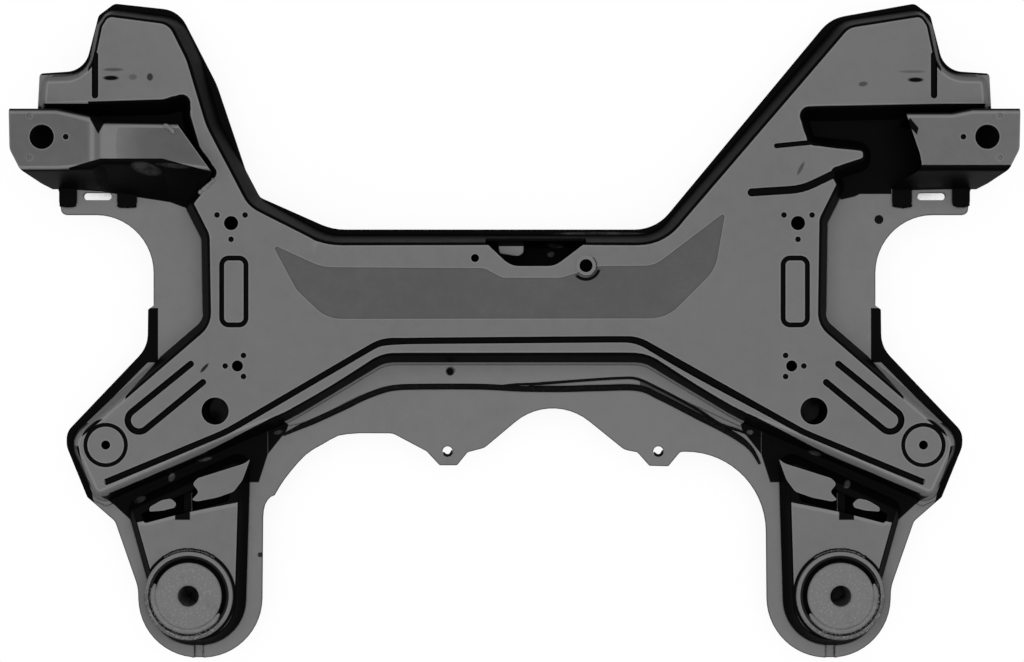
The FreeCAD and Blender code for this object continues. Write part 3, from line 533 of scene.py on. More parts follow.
        # Painted sheen: pale streaks on the walls and pale patches on the black.
        sheen_streak = grain.ramp(0.55, 0.8) * smear.ramp(0.5, 0.7) * (1 - up.ramp(0.4, 0.8)) * self.sheen_streak_share
        broken = (mottle.ramp(0.3, 0.7) + 0.25) * (0.4 + grain)
        sheen_mask = deepest(self.sheen_patches, spot) * broken * self.sheen_share
        black = shop.mix(sheen_streak.most(sheen_mask), grey(self.dark), grey(self.light))
        least, on_flats, play = self.roughness
        fine_relief, broad_relief = self.relief
        relief = grain * fine_relief + mottle * broad_relief - dents
        return shop.surface({
            "Base Color": shop.mix(lit_share, black, base),
            "Roughness": least + lit_share * on_flats + (mottle - 0.5) * play,
            "Normal": shop.bump(relief, self.relief_depth, self.relief_share),
            "Specular IOR Level": self.specular,
        })

    def edges(self, shop: Shader) -> tuple:
        """Return how near a flat is to an edge, and where that edge faces rearwards.

        Args:
            shop: The coat's node tree.

        Returns:
            The tilt of the rounded normal, and 1 where it leans rearwards.
        """
        settings = {"samples": self.edge_samples}
        bent = shop.node("ShaderNodeBevel", "Normal", settings, {"Radius": self.edge_reach})
        return 1 - shop.axis(bent, "Z"), shop.axis(bent, "Y") < 0.02

    def bracket(self, spot: Spot) -> Signal:
        """Return the painted shade on the horn brackets' plates: the front strip, wedge, groove, pip and ear.

        Args:
            spot: The shaded point.

        Returns:
            The mask, 1 where painted shade is laid on the plate.
        """
        half = spot.folded()
        left = Spot(0.0 - spot.x, spot.y, spot.z)
        lap = (half.x - 345 * MM).least(0.0) * 0.27 - (half.x - 405 * MM).most(0.0) * 0.30
        front = (spot.y < lap + 170.5 * MM) * (spot.x < 0.0) * (half.x < 436 * MM)
        front_right = (spot.y < 164 * MM) * (spot.x > 0.0)
        wedge = left.inside((401.0, 214.5), (401.5, 206.0), (407.5, 194.0), (418.0, 214.5))
        groove = left.x.between(407 * MM, 409.5 * MM, 3 * MM) * 0.35
        pip = half.reach(self.horn_pip) < 2.8 * MM
        ear = spot.inside((382.5, 205.0), (393.6, 193.5), (395.2, 200.0), (387.0, 210.0))
        return union(front, front_right, wedge, groove, pip, ear) * (spot.z > self.plate_level)

    def pad_rim(self, spot: Spot) -> Signal:
        """Return the painted highlight line on the lobe box below the pocket's painted shade."""
        line = spot.folded().over_line(*self.pad_edge).between(0.8 * MM, 3.0 * MM, 1.2 * MM)
        return line * (abs(spot.z - self.pad_level) < 1 * MM) * 0.45

    def lit_walls(self, spot: Spot) -> Signal:
        """Return the walls painted in the flats' lit grey, as painted light.

        Args:
            spot: The shaded point.

        Returns:
            The mask, 1 on a wall painted lit grey.
        """
        half = spot.folded()
        beyond = half.over_line(*self.arm_edge)
        taper = half.over_line((357.7, -29.3), (382.6, -61.2)) > 0.0
        off_ring = half.reach(self.arm_ring) > 24.3 * MM
        outer = half.x > self.tip_start
        arm = (beyond < 0.0) * (beyond > -19 * MM) * taper.most(outer) * half.y.within(-112, -25)
        toe = (half.x - half.y * self.toe_slope).within(428, self.toe_edge) * (half.y < -106 * MM) * outer
        tip = arm.most(toe) * (half.x > 352 * MM) * off_ring
        far = half.over_line((399.7, -158.4), (312.3, -121.6))
        near = half.over_line((312.3, -121.6), (229.9, -78.9))
        bead_far = half.over_line((404.2, -152.0), (285.8, -101.7))
        bead_near = half.over_line((285.8, -101.7), (211.7, -63.7))
        strip = (far.most(near) < 0.0) * (bead_far.most(bead_near) > 0.0)
        strip = strip * (half.x > self.wedge_tip) * (half.x < 415 * MM) * (half.y < -60 * MM)
        clear = 1 - half.z.ramp(self.wall_low, self.wall_low + 1.5 * MM)
        step = (half.x < self.wedge_tip) * half.y.within(-90, -8) * clear
        raised = half.z.ramp(36 * MM, 44 * MM).most(half.x > self.shelf_end)
        rear, front = self.shelf_span
        shelf = (half.x > 421 * MM) * (half.y > rear * MM) * raised
        shelf = shelf * (half.y < front * MM).most(half.over_line((450.0, 257.0), (421.0, 280.0)) > 0.0)
        return union(tip, strip, step, shelf) * (half.z > 33 * MM)

    def rings(self, spot: Spot) -> Signal:
        """Return the painted shade in the gap round the bush cups and in the crescent below the collar.

        Args:
            spot: The shaded point.

        Returns:
            The mask, 1 where painted shade is laid.
        """
        half = spot.folded()
        right, rise = half.offset(BUSH)
        welded = (abs(right + 0.5 * MM) < 25 * MM) * (rise > 0.0)
        round_cup = half.reach(BUSH).between(44.2 * MM, 46.4 * MM, 0.9 * MM) * (1 - welded * 0.6)
        over, below = spot.offset(self.collar)
        reach = spot.reach(self.collar)
        rear_side = ((over * 0.25 - below) / reach).ramp(0.42, 0.62)
        crescent = reach.between(12.2 * MM, 14.6 * MM, 0.8 * MM) * rear_side
        return round_cup.most(crescent) * (spot.z > self.flange_level)

    def shaded_flats(self, spot: Spot) -> Signal:
        """Return the mask of flats painted black as painted shade: gaps, hollows, the sheets below the seam
        and seam edges.

        Args:
            spot: The shaded point.

        Returns:
            The mask, 1 where painted shade is laid.
        """
        half = spot.folded()
        low = half.z < self.flange_level
        tab = half.x > 377 * MM
        off_shelf_end = 1 - (half.x > self.shelf_end) * half.y.within(*self.shelf_span)
        horn = (half.y > 138.5 * MM) * (1 - tab * (half.y < 143.5 * MM)) * (half.x > 200 * MM) * off_shelf_end
        crown = (half.y > 86 * MM) * (half.x < 290 * MM)
        beside_bay = half.x > self.bay_edge
        bay_edge = beside_bay * half.y.within(-30, 24.5)
        arm_edge = (half.over_line(*self.arm_edge) > 0.0) * half.y.within(-190, -12) * beside_bay
        toe = (half.x - half.y * self.toe_slope > self.toe_edge * MM) * (half.y < -100 * MM)
        under_arm = (half.y + 133 * MM + (half.x - 264 * MM) * 0.46) > 0.0
        heel = half.over_line((384.0, -188.0), (403.0, -170.5)) > 0.0
        pocket_edge = under_arm * heel * (half.x > self.pocket_start) * (half.y < -90 * MM)
        pocket_nose = half.inside((256, -150), (300, -150), (300, -60), (247, -77), (247, -122))
        pocket_tip = half.inside((247, -122), (247, -77), (226, -92), (228, -98))
        bay_curl = spot.inside((323.5, 139.5), (327.5, 129.5), (340.5, 136.0), (355.5, 139.5))
        region = union(horn, crown, bay_edge, arm_edge, toe, pocket_edge, pocket_nose, pocket_tip, bay_curl)
        foot = (half.z > self.foot_low) * low * (half.y > 100 * MM) * off_shelf_end
        pad = (half.over_line(*self.pad_edge) < 0.0) * (half.x > self.pocket_start)
        pad = pad * (abs(half.z - self.pad_level) < 0.4 * MM)
        web = half.inside((322, -186), (337, -186), (337, -158), (322, -158))
        web = web * (half.z < self.pad_level + 0.4 * MM)
        return union(low * region, half.z < self.seam_level, foot, pad, web)


@dataclass(frozen=True)
class CupCoat:
    """The coat of cup and outer sleeve: black and speckled, with the cup's upward lip painted grey as painted
    light, fainter on its low side.
    """

    name: str = "cup_coat"
    dark: float = 0.004
    lip: float = 0.215
    speck: float = 0.30
    lip_inside: float = 39.6 * MM

    def build(self) -> bpy.types.Material:
        """Mix the black of the cup with painted light on its upward lip, fainter on the low side, and the
        specks of its lower side.

        Returns:
            The finished material.
        """
        shop = Shader(self.name)
        spot = shop.spot().folded()
        right, rise = spot.offset(BUSH)
        reach = spot.reach(BUSH)
        up = shop.axis(shop.facing(), "Z")
        fine = shop.noise(430.0, 3.0, 0.6)
        low_side = ((right * 0.55 - rise) / reach).ramp(-0.1, 0.7)
        on_lip = up.ramp(0.55, 0.9) * reach.ramp(self.lip_inside - 0.4 * MM, self.lip_inside)
        upward_specks = fine.ramp(0.50, 0.62) * low_side * up.ramp(0.5, 0.9)
        # Painted light: the upward lip takes a lit grey, with less of it on the low side.
        colour = shop.mix(on_lip * (0.85 - low_side * 0.35), grey(self.dark), grey(self.lip))
        return shop.surface({
            "Base Color": shop.mix(upward_specks * 0.6, colour, grey(self.speck)),
            "Roughness": 0.42 + (fine - 0.5) * 0.25,
            "Normal": shop.bump(fine, 0.25 * MM, 0.5), "Specular IOR Level": 0.12,
        })


@dataclass(frozen=True)
class PlainFinish:
    """A finish of one base grey with speckle, for metal and rubber."""

    name: str
    base: float
    speck: float
    metallic: float
    roughness: float
    scale: float = 400.0
    relief: float = 0.15 * MM
    specular: float = 0.3

    def build(self) -> bpy.types.Material:
        """Speckle the base grey and break it with broad duller patches.

        Returns:
            The finished material.
        """
        shop = Shader(self.name)
        fine = shop.noise(self.scale, 3.0, 0.6)
        broad = shop.noise(self.scale * 0.12, 2.0, 0.5)
        speck = fine.ramp(0.52, 0.68)
        colour = shop.mix(speck * 0.8, grey(self.base), grey(self.speck))
        colour = shop.mix(broad.ramp(0.55, 0.75) * 0.35, colour, grey(self.base * 0.6))
        return shop.surface({
            "Base Color": colour, "Metallic": self.metallic,
            "Roughness": self.roughness + (broad - 0.5) * 0.2,
            "Normal": shop.bump(fine, self.relief, 0.5), "Specular IOR Level": self.specular,
        })


FINISHES = {
    Slot.COATED_STEEL: DipCoat(),
    Slot.COATED_CUP: CupCoat(),
    Slot.BRIGHT_SLEEVE: PlainFinish("zinc_sleeve", 0.42, 0.6, 0.9, 0.35),
    Slot.DISC_STEEL: PlainFinish("speckled_disc", 0.195, 0.27, 0.0, 0.55, 420.0, 0.25 * MM, 0.06),
    Slot.NUT_STEEL: PlainFinish("dark_nut", 0.012, 0.05, 0.3, 0.5, 500.0, 0.15 * MM, 0.1),
    Slot.BUSH_RUBBER: PlainFinish("bush_rubber", 0.004, 0.012, 0.0, 0.7, 300.0, 0.2 * MM, 0.05),
}


@dataclass
class Workshop:
    """What every sub-assembly shares: the frame, its nodes and the made materials."""

    frame: dict
    crease: float = 32.0
    drop: tuple = (1.5, 2.1, 1.2)
    bead_high: float = 4.2
    tooth_pitch: float = 2.5
    tooth_thick: float = 1.2

    def __post_init__(self) -> None:
        """Read the nodes' slots, build each finish once and make the shared trees."""
        self.slots = {row["node"]: Slot(row["material_slot"]) for row in self.frame["record"]["subparts"]}
        self.materials = {slot: finish.build() for slot, finish in FINISHES.items()}
        self.settling = Settling()
        self.flat_bead_tree = FlatBeadTree()
        self.weld_tree = WeldTree()
        self.rib_tree = RibTree()

    def adopt(self, piece: bpy.types.Object, slot: Slot, *nodes: str) -> None:
        """Dress a piece, tie it to the frame and let it stand for nodes.

        Args:
            piece: The finished piece.
            slot: Its material slot.
            nodes: The nodes that it stands for.
        """
        piece.data.materials.clear()
        piece.data.materials.append(self.materials[slot])
        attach(piece, BODY)
        if nodes:
            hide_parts(*nodes)
        LOG.info("%s: %d faces", piece.name, len(piece.data.polygons))

    def weld(self, name: str, points: list, share: float = 1.0, slot: Slot = Slot.COATED_STEEL) -> None:
        """Lay a weld bead along a path.

        Args:
            name: Name of the piece.
            points: The bead's middle line, in millimetres.
            share: Size of the drops against a full bead.
            slot: The bead's material slot.
        """
        long, wide, high = (size * MM * share for size in self.drop)
        piece = self.weld_tree.grow(name, points, False, {
            "Pitch": long, "Long": long, "Wide": wide, "High": high,
            "Seed": len(name), "Material": self.materials[slot]})
        self.adopt(piece, slot)

    def flat_bead(self, name: str, points: list, wide: float, slot: Slot = Slot.BUSH_RUBBER) -> None:
        """Lay a flat bead through points of one level.

        Args:
            name: Name of the piece.
            points: The bead's middle line, in millimetres.
            wide: Width of the bead, in millimetres.
            slot: The bead's material slot.
        """
        level = points[0][2] * MM
        piece = self.flat_bead_tree.grow(name, [(x, y, 0.0) for x, y, _ in points], False, {
            "Wide": wide * MM, "Flat": self.bead_high / wide, "Level": level,
            "Material": self.materials[slot]})
        self.adopt(piece, slot)

    def teeth(self, name: str, points: list, reach: float, high: float) -> None:
        """Set the teeth of a sleeve's lower end round a closed path.

        Args:
            name: Name of the piece.
            points: The middle line of the ring of teeth, in millimetres.
            reach: Length of each tooth across the ring, in millimetres.
            high: Height of each tooth.
        """
        piece = self.rib_tree.grow(name, points, True, {
            "Pitch": self.tooth_pitch * MM, "Long": self.tooth_thick * MM, "Wide": reach * MM,
            "High": high * MM, "Material": self.materials[Slot.BRIGHT_SLEEVE]})
        self.adopt(piece, Slot.BRIGHT_SLEEVE)

    def smooth_copy(self, node: str) -> bpy.types.Object:
        """Return a copy of a node with joined vertices and smooth shading.

        Args:
            node: The node's name.

        Returns:
            The new piece, linked to the scene.
        """
        mesh = self.frame["nodes"][node].data.copy()
        work = bmesh.new()
        work.from_mesh(mesh)
        bmesh.ops.remove_doubles(work, verts=work.verts, dist=2 * TOUCH)
        self.settling.apply(work, node.endswith("_shell"))
        work.to_mesh(mesh)
        work.free()
        for name in ("custom_normal", "sharp_face"):
            if name in mesh.attributes:
                mesh.attributes.remove(mesh.attributes[name])
        mesh.shade_smooth()
        mesh.set_sharp_from_angle(angle=math.radians(self.crease))
        return linked(node + "_dressed", mesh)


@dataclass(frozen=True)
class Settling:
    """The sag of the plateau's rear edge at the arms, and the fuller corner by the left lobe."""

    middle: float = 192 * MM
    half: float = 99 * MM
    drop: float = 3.8 * MM
    brow_x: float = 131 * MM
    brow_y: float = -8.5 * MM
    slope: float = 90 / 154
    shares: tuple = ((4.0, 0.0), (8.0, 1.0), (12.0, 1.0), (20.0, 0.3), (34.0, 0.0))
    corner: tuple = ((158.0, 0.0), (176.0, 2.0), (192.0, 7.5), (208.0, 10.5), (224.0, 16.5), (240.0, 21.0),
                     (254.0, 0.0))
    corner_shares: tuple = ((26.0, 0.0), (38.0, 1.0), (85.0, 1.0), (120.0, 0.0))
    cuts: int = 16

    def between(self, knots: tuple, reach: float) -> float:
        """Return the value at a distance, read between knots.

        Args:
            knots: Distances in millimetres with their values, in rising order.
            reach: The distance, in metres.

        Returns:
            The value, 0 past the last knot.
        """
        for (start, low), (end, high) in zip(knots, knots[1:]):
            if reach < end * MM:
                return low + (high - low) * max(0.0, (reach / MM - start) / (end - start))
        return 0.0

    def shift(self, x: float, y: float) -> float:
        """Return how far a point of the sheet is moved along Y, below 0 towards the rear.

        Args:
            x: Coordinate across the frame.
            y: Coordinate towards the horns.

        Returns:
            The shift along Y, in metres.
        """
        reach = min(1.0, abs(abs(x) - self.middle) / self.half)
        bead = self.brow_y - (abs(x) - self.brow_x) * self.slope
        behind = bead - y
        fuller = self.between(self.corner, -x) * self.between(self.corner_shares, behind) * MM
        return -self.drop * math.cos(reach * math.pi / 2) ** 2 * self.between(self.shares, behind) - fuller

    def apply(self, work: bmesh.types.BMesh, finely: bool) -> None:
        """Bend a mesh, after cutting its long faces where that is wanted.

        Args:
            work: The mesh, changed in place.
            finely: Whether long faces are cut first.
        """
        steps = range(self.cuts + 1) if finely else ()
        for step in steps:
            reach = self.middle - self.half + 2 * self.half * step / self.cuts
            for place in (-reach, reach):
                parts = work.verts[:] + work.edges[:] + work.faces[:]
                across = {"plane_co": (place, 0, 0), "plane_no": (1, 0, 0)}
                bmesh.ops.bisect_plane(work, geom=parts, dist=TOUCH, **across)
        for corner in work.verts:
            corner.co.y += self.shift(corner.co.x, corner.co.y)


class GrowthTree(NodeTree):
    """A Geometry Nodes tree with named inputs, grown on a path and then made a plain mesh."""

    def __init__(self, name: str, floats: tuple) -> None:
        """Start a tree that takes a path, some sizes, a seed and a material.

        Args:
            name: The tree's name.
            floats: Names of its number inputs.
        """
        self.tree = bpy.data.node_groups.new(name, "GeometryNodeTree")
        face = self.tree.interface
        face.new_socket("Geometry", in_out="OUTPUT", socket_type="NodeSocketGeometry")
        kinds = {"Path": "Geometry", **dict.fromkeys(floats, "Float"), "Seed": "Int", "Material": "Material"}
        for label, kind in kinds.items():
            face.new_socket(label, in_out="INPUT", socket_type="NodeSocket" + kind)
        self.entry = self.tree.nodes.new("NodeGroupInput")

    def given(self, label: str) -> Signal:
        """Return one of the tree's own inputs."""
        return Signal(self, self.entry.outputs[label])

    def vector(self, *values: "Signal | float") -> Signal:
        """Return a vector of three values."""
        return self.node("ShaderNodeCombineXYZ", "Vector", {}, dict(zip("XYZ", values)))

    def curve(self) -> Signal:
        """Return the path as a curve."""
        return self.node("GeometryNodeMeshToCurve", "Curve", {}, {"Mesh": self.given("Path")})

    def stepped(self, curve: Signal, step: "Signal | float") -> Signal:
        """Return a curve resampled at an even step."""
        values = {"Curve": curve, "Length": step}
        return self.node("GeometryNodeResampleCurve", "Curve", {"mode": "LENGTH"}, values)

    def close(self, geometry: Signal) -> None:
        """End the tree: realize the instances, set the material and send the mesh out.

        Args:
            geometry: What the tree has made.
        """
        real = self.node("GeometryNodeRealizeInstances", "Geometry", {}, {"Geometry": geometry})
        smooth = self.node("GeometryNodeSetShadeSmooth", "Geometry", {}, {"Geometry": real})
        values = {"Geometry": smooth, "Material": self.given("Material")}
        dressed = self.node("GeometryNodeSetMaterial", "Geometry", {}, values)
        way_out = self.tree.nodes.new("NodeGroupOutput")
        self.tree.links.new(dressed.socket, way_out.inputs["Geometry"])

    def grow(self, name: str, points: list, closed: bool, values: dict) -> bpy.types.Object:
        """Grow the tree on a path and return the result as a plain mesh object.

        Args:
            name: Name of the piece.
            points: Places along the path, in millimetres.
            closed: Whether the last point joins the first.
            values: Input name to its value.

        Returns:
            The piece, without a modifier.
        """
        count = len(points)
        edges = [(i, (i + 1) % count) for i in range(count if closed else count - 1)]
        path = bpy.data.meshes.new(name + "_path")
        path.from_pydata([(x * MM, y * MM, z * MM) for x, y, z in points], edges, [])
        piece = linked(name, path)
        modifier = piece.modifiers.new("growth", "NODES")
        modifier.node_group = self.tree
        for item in self.tree.interface.items_tree:
            if item.in_out == "INPUT" and item.name in values:
                modifier[item.identifier] = values[item.name]
        graph = bpy.context.evaluated_depsgraph_get()
        mesh = bpy.data.meshes.new_from_object(piece.evaluated_get(graph))
        piece.modifiers.clear()
        piece.data = mesh
        return piece


class RowTree(GrowthTree):
    """One shape repeated along a path, each copy turned the path's way."""

    def __init__(self, name: str) -> None:
        """Start the tree with a pitch and the three sizes of a copy.

        Args:
            name: The tree's name.
        """
        super().__init__(name, ("Pitch", "Long", "Wide", "High"))
        self.size = self.vector(*(self.given(label) for label in ("Long", "Wide", "High")))

    def set_out(self, values: dict) -> None:
        """Set one copy on each step of the path and end the tree.

        Args:
            values: The copies' shape and, where it varies, their scale.
        """
        points = self.stepped(self.curve(), self.given("Pitch"))
        tangent = self.node("GeometryNodeInputTangent", "Tangent", {}, {})
        turn = self.node("FunctionNodeAlignRotationToVector", "Rotation", {"axis": "X"}, {"Vector": tangent})
        values = {"Points": points, "Rotation": turn, **values}
        self.close(self.node("GeometryNodeInstanceOnPoints", "Instances", {}, values))


class WeldTree(RowTree):
    """Overlapping flat drops of weld metal along a path."""

    def __init__(self) -> None:
        """Build the tree with one uneven drop on each step."""
        super().__init__("weld_bead")
        drop = self.node("GeometryNodeMeshIcoSphere", "Mesh", {}, {"Radius": 1.0, "Subdivisions": 2})
        uneven = self.node("FunctionNodeRandomValue", 0, {"data_type": "FLOAT_VECTOR"},
                           {0: (0.8, 0.8, 0.75), 1: (1.15, 1.2, 1.25), "Seed": self.given("Seed")})
        multiply = {"operation": "MULTIPLY"}
        scale = self.node("ShaderNodeVectorMath", "Vector", multiply, {0: self.size, 1: uneven})
        self.set_out({"Instance": drop, "Scale": scale})


class RibTree(RowTree):
    """Small upright ribs set across a path, as on the toothed end of a sleeve."""

    def __init__(self) -> None:
        """Build the tree with one rib across each step."""
        super().__init__("toothed_end")
        self.set_out({"Instance": self.node("GeometryNodeMeshCube", "Mesh", {}, {"Size": self.size})})


class FlatBeadTree(GrowthTree):
    """A flat round-edged bead swept along a path, thinner at its ends."""

    def __init__(self) -> None:
        """Build the tree: smooth the path, sweep a round section and press it flat."""
        super().__init__("sealer_bead", ("Wide", "Flat", "Level"))
        spline = {"spline_type": "CATMULL_ROM"}
        smooth = self.node("GeometryNodeCurveSplineType", "Curve", spline, {"Curve": self.curve()})
        share = self.node("GeometryNodeSplineParameter", "Factor", {}, {})
        taper = self.node("ShaderNodeMapRange", "Result", {}, {
            "Value": share.least(1 - share), "From Min": 0.0, "From Max": 0.06, "To Min": 0.2, "To Max": 0.5})
        round_section = {"Resolution": 12, "Radius": 1.0}
        section = self.node("GeometryNodeCurvePrimitiveCircle", "Curve", {}, round_section)
        swept = self.node("GeometryNodeCurveToMesh", "Mesh", {}, {
            "Curve": self.stepped(smooth, 2.5 * MM), "Profile Curve": section,
            "Scale": taper * self.given("Wide"), "Fill Caps": True})
        scale = self.vector(1.0, 1.0, self.given("Flat"))
        lift = self.vector(0.0, 0.0, self.given("Level"))
        values = {"Geometry": swept, "Translation": lift, "Scale": scale}
        self.close(self.node("GeometryNodeTransform", "Geometry", {}, values))


def arc_points(centre: tuple, radius: float, level: float, span: tuple, steps: int) -> list:
    """Return points along a level arc.

    Args:
        centre: Centre in plan.
        radius: Radius of the arc.
        level: Height of the arc.
        span: First and last angle, in degrees.
        steps: Number of points.

    Returns:
        The points.
    """
    start, end = span
    angles = [math.radians(start + (end - start) * i / (steps - 1)) for i in range(steps)]
    return [(centre[0] + radius * math.cos(a), centre[1] + radius * math.sin(a), level) for a in angles]


def eased(corners: tuple, steps: int = 4) -> list:
    """Return a closed outline with each corner cut by a short curve.

    Args:
        corners: Rows of two coordinates and the curve's reach along each leg.
        steps: Steps of each curve.

    Returns:
        The points of the rounded outline.
    """
    points = []
    for i, (across, along, reach) in enumerate(corners):
        here = Vector((across, along))
        before = Vector(corners[i - 1][:2]) - here
        after = Vector(corners[(i + 1) % len(corners)][:2]) - here
        room = min(reach, before.length * LEG_SHARE, after.length * LEG_SHARE)
        start = here + before.normalized() * room
        end = here + after.normalized() * room
        for step in range(steps + 1):
            t = step / steps
            points.append(start * (1 - t) ** 2 + here * (2 * t * (1 - t)) + end * t ** 2)
    return points


def linked(name: str, data: bpy.types.ID) -> bpy.types.Object:
    """Return a new object of some data, linked to the scene.

    Args:
        name: Name of the object.
        data: Its mesh, lamp or camera data.

    Returns:
        The new object.
    """
    piece = bpy.data.objects.new(name, data)
    bpy.context.scene.collection.objects.link(piece)
    return piece


def finished_object(name: str, work: bmesh.types.BMesh) -> bpy.types.Object:
    """Return a linked object made of a bmesh, with its faces outwards and smooth below an angle.

    Args:
        name: Name of the piece.
        work: The finished bmesh, which is freed.

    Returns:
        The new object.
    """
    bmesh.ops.recalc_face_normals(work, faces=work.faces)
    mesh = bpy.data.meshes.new(name)
    work.to_mesh(mesh)
    work.free()
    mesh.shade_smooth()
    mesh.set_sharp_from_angle(angle=math.radians(SMOOTH_BELOW))
    return linked(name, mesh)


@dataclass
class Turned:
    """A closed section turned about an upright axis, with rounded corners, in millimetres."""

    name: str
    section: tuple
    centre: tuple
    segments: int = 96

    def build(self) -> bpy.types.Object:
        """Turn the section in even steps and join the rings.

        Returns:
            The turned piece, closed and with its faces outwards.
        """
        section = eased(self.section)
        work = bmesh.new()
        rings = []
        for turn in range(self.segments):
            angle = 2 * math.pi * turn / self.segments
            across = math.cos(angle)
            along = math.sin(angle)
            ring = [(self.centre[0] + p.x * across, self.centre[1] + p.x * along, p.y) for p in section]
            rings.append([work.verts.new(Vector(place) * MM) for place in ring])
        count = len(section)
        for turn, ring in enumerate(rings):
            after = rings[(turn + 1) % self.segments]
            for i in range(count):
                j = (i + 1) % count
                work.faces.new((ring[i], after[i], after[j], ring[j]))
        bmesh.ops.remove_doubles(work, verts=work.verts, dist=TOUCH)
        return finished_object(self.name, work)


@dataclass
class Shells:
    """The two pressed shells and every other steel node that keeps its own shape."""

    shop: Workshop
    rebuilt: str = "bush_"

    def build(self) -> None:
        """Dress each node with a smoothed copy of itself."""
        for node in sorted(self.shop.frame["nodes"]):
            if not node.startswith(self.rebuilt):
                self.shop.adopt(self.shop.smooth_copy(node), self.shop.slots[node], node)


@dataclass
class RearBush:
    """One rear bush in its welded cup, turned from sections that fill the solids' room, in millimetres."""

    shop: Workshop
    side: Side
    bore: float = 10.3
    lip_flare: float = 1.6
    lip_high: float = 4.2
    gap_deep: float = 3.0
    hollow: float = 5.0
    tooth_high: float = 0.8
    weld_level: float = 52.4
    weld_span: tuple = (57.0, 124.0)
    weld_out: float = 2.6
    squeeze_spans: tuple = ((160.0, 330.0), (20.0, -150.0))
    squeeze_deep: float = 3.4
    squeeze_over: float = 1.6

    def room(self, stem: str) -> tuple:
        """Return the centre, outer radius, lowest and highest level that a node has.

        Args:
            stem: The node's name without its ends.

        Returns:
            The centre in plan and the three measures, in millimetres.
        """
        low, high = ([value / MM for value in corner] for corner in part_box(self.node(stem)))
        centre = ((low[0] + high[0]) / 2, (low[1] + high[1]) / 2)
        return centre, (high[1] - low[1]) / 2, low[2], high[2]

    def node(self, stem: str) -> str:
        """Return the full name of one of this side's bush nodes."""
        return "bush_%s_%s" % (stem, self.side.word)

    def turn(self, stem: str, *section: tuple) -> None:
        """Turn one section about the bush axis and let it stand for its node.

        Args:
            stem: The node's name without its ends.
            section: Rows of radius, height and rounding, in millimetres.
        """
        name = self.node(stem)
        piece = Turned(name + "_turned", section, self.room(stem)[0]).build()
        self.shop.adopt(piece, self.shop.slots[name], name)

    def build(self) -> None:
        """Turn the cup, sleeves, rubber and disc, and lay the beads that go with them."""
        self.build_cup()
        self.build_outer_sleeve()
        self.build_rubber()
        self.build_inner_sleeve()
        self.build_disc()
        self.build_beads()

    def build_cup(self) -> None:
        """Turn the cup with its flared lip."""
        _, cup, low, high = self.room("cup")
        sleeve = self.room("outer_sleeve")[1]
        lip = cup + self.lip_flare
        self.turn("cup", (sleeve, low, 0.8), (cup, low, 0.8), (cup, high - self.lip_high, 1.5),
                  (lip, high - self.lip_high * 0.55, 1.0), (lip, high - 0.6, 0.8), (cup, high, 1.2),
                  (sleeve + 0.4, high, 0.9), (sleeve, high - 1.2, 0.6))

    def build_outer_sleeve(self) -> None:
        """Turn the sleeve between cup and rubber."""
        _, sleeve, low, high = self.room("outer_sleeve")
        rubber = self.room("rubber")[1]
        self.turn("outer_sleeve", (rubber, low, 0.6), (sleeve, low, 0.6), (sleeve, high - 1.4, 0.6),
                  (rubber, high - 1.8, 0.9))

    def build_rubber(self) -> None:
        """Turn the rubber, hollowed at both ends."""
        _, rubber, low, high = self.room("rubber")
        core = self.room("inner_sleeve")[1]
        gap = high - self.gap_deep
        self.turn("rubber", (core, low, 1), (core + self.hollow, low + self.hollow, 4),
                  (rubber - self.hollow, low + self.hollow, 4), (rubber, low, 1), (rubber, gap, 1),
                  (rubber - 4, gap - self.gap_deep, 3), (core + self.hollow, gap, 4), (core, high, 1))

    def build_inner_sleeve(self) -> None:
        """Turn the bright sleeve above its teeth."""
        _, core, low, high = self.room("inner_sleeve")
        foot = low + self.tooth_high
        self.turn("inner_sleeve", (self.bore, foot, 0.3), (core, foot, 0.4), (core, high, 0.4),
                  (self.bore, high, 0.3))

    def build_disc(self) -> None:
        """Turn the disc with its stepped rim and eased bore."""
        _, disc, low, high = self.room("disc")
        bore = self.bore
        self.turn("disc", (bore, low, 0.3), (disc - 1.2, low, 0.6), (disc, low + 1.2, 0.8),
                  (disc, high - 1.4, 0.9), (disc - 1.6, high - 0.4, 0.8), (disc - 4.5, high - 0.5, 1.2),
                  (disc - 6.5, high, 1.2), (bore + 3.4, high, 0.8), (bore + 0.9, high - 0.7, 0.6),
                  (bore, high - 1.6, 0.5))

    def build_beads(self) -> None:
        """Lay the squeezed rubber at the disc's rim, the cup's weld and the sleeve's teeth."""
        centre, disc, _, high = self.room("disc")
        rubber = self.room("rubber")[1]
        span = self.squeeze_spans[self.side is Side.RIGHT]
        squeeze = arc_points(centre, (disc + rubber) / 2, high - self.squeeze_deep, span, 24)
        wide = rubber - disc + self.squeeze_over
        self.shop.flat_bead("rubber_squeeze_" + self.side.word, squeeze, wide, Slot.DISC_STEEL)
        arc = arc_points(centre, self.room("cup")[1] + self.weld_out, self.weld_level, self.weld_span, 24)
        self.shop.weld("cup_weld_" + self.side.word, arc)
        _, core, low, _ = self.room("inner_sleeve")
        ring = arc_points(centre, (self.bore + core) / 2, low + self.tooth_high * 0.75, (0.0, 350.0), 36)
        self.shop.teeth("sleeve_teeth_" + self.side.word, ring, core - self.bore - 1.0, self.tooth_high * 1.5)


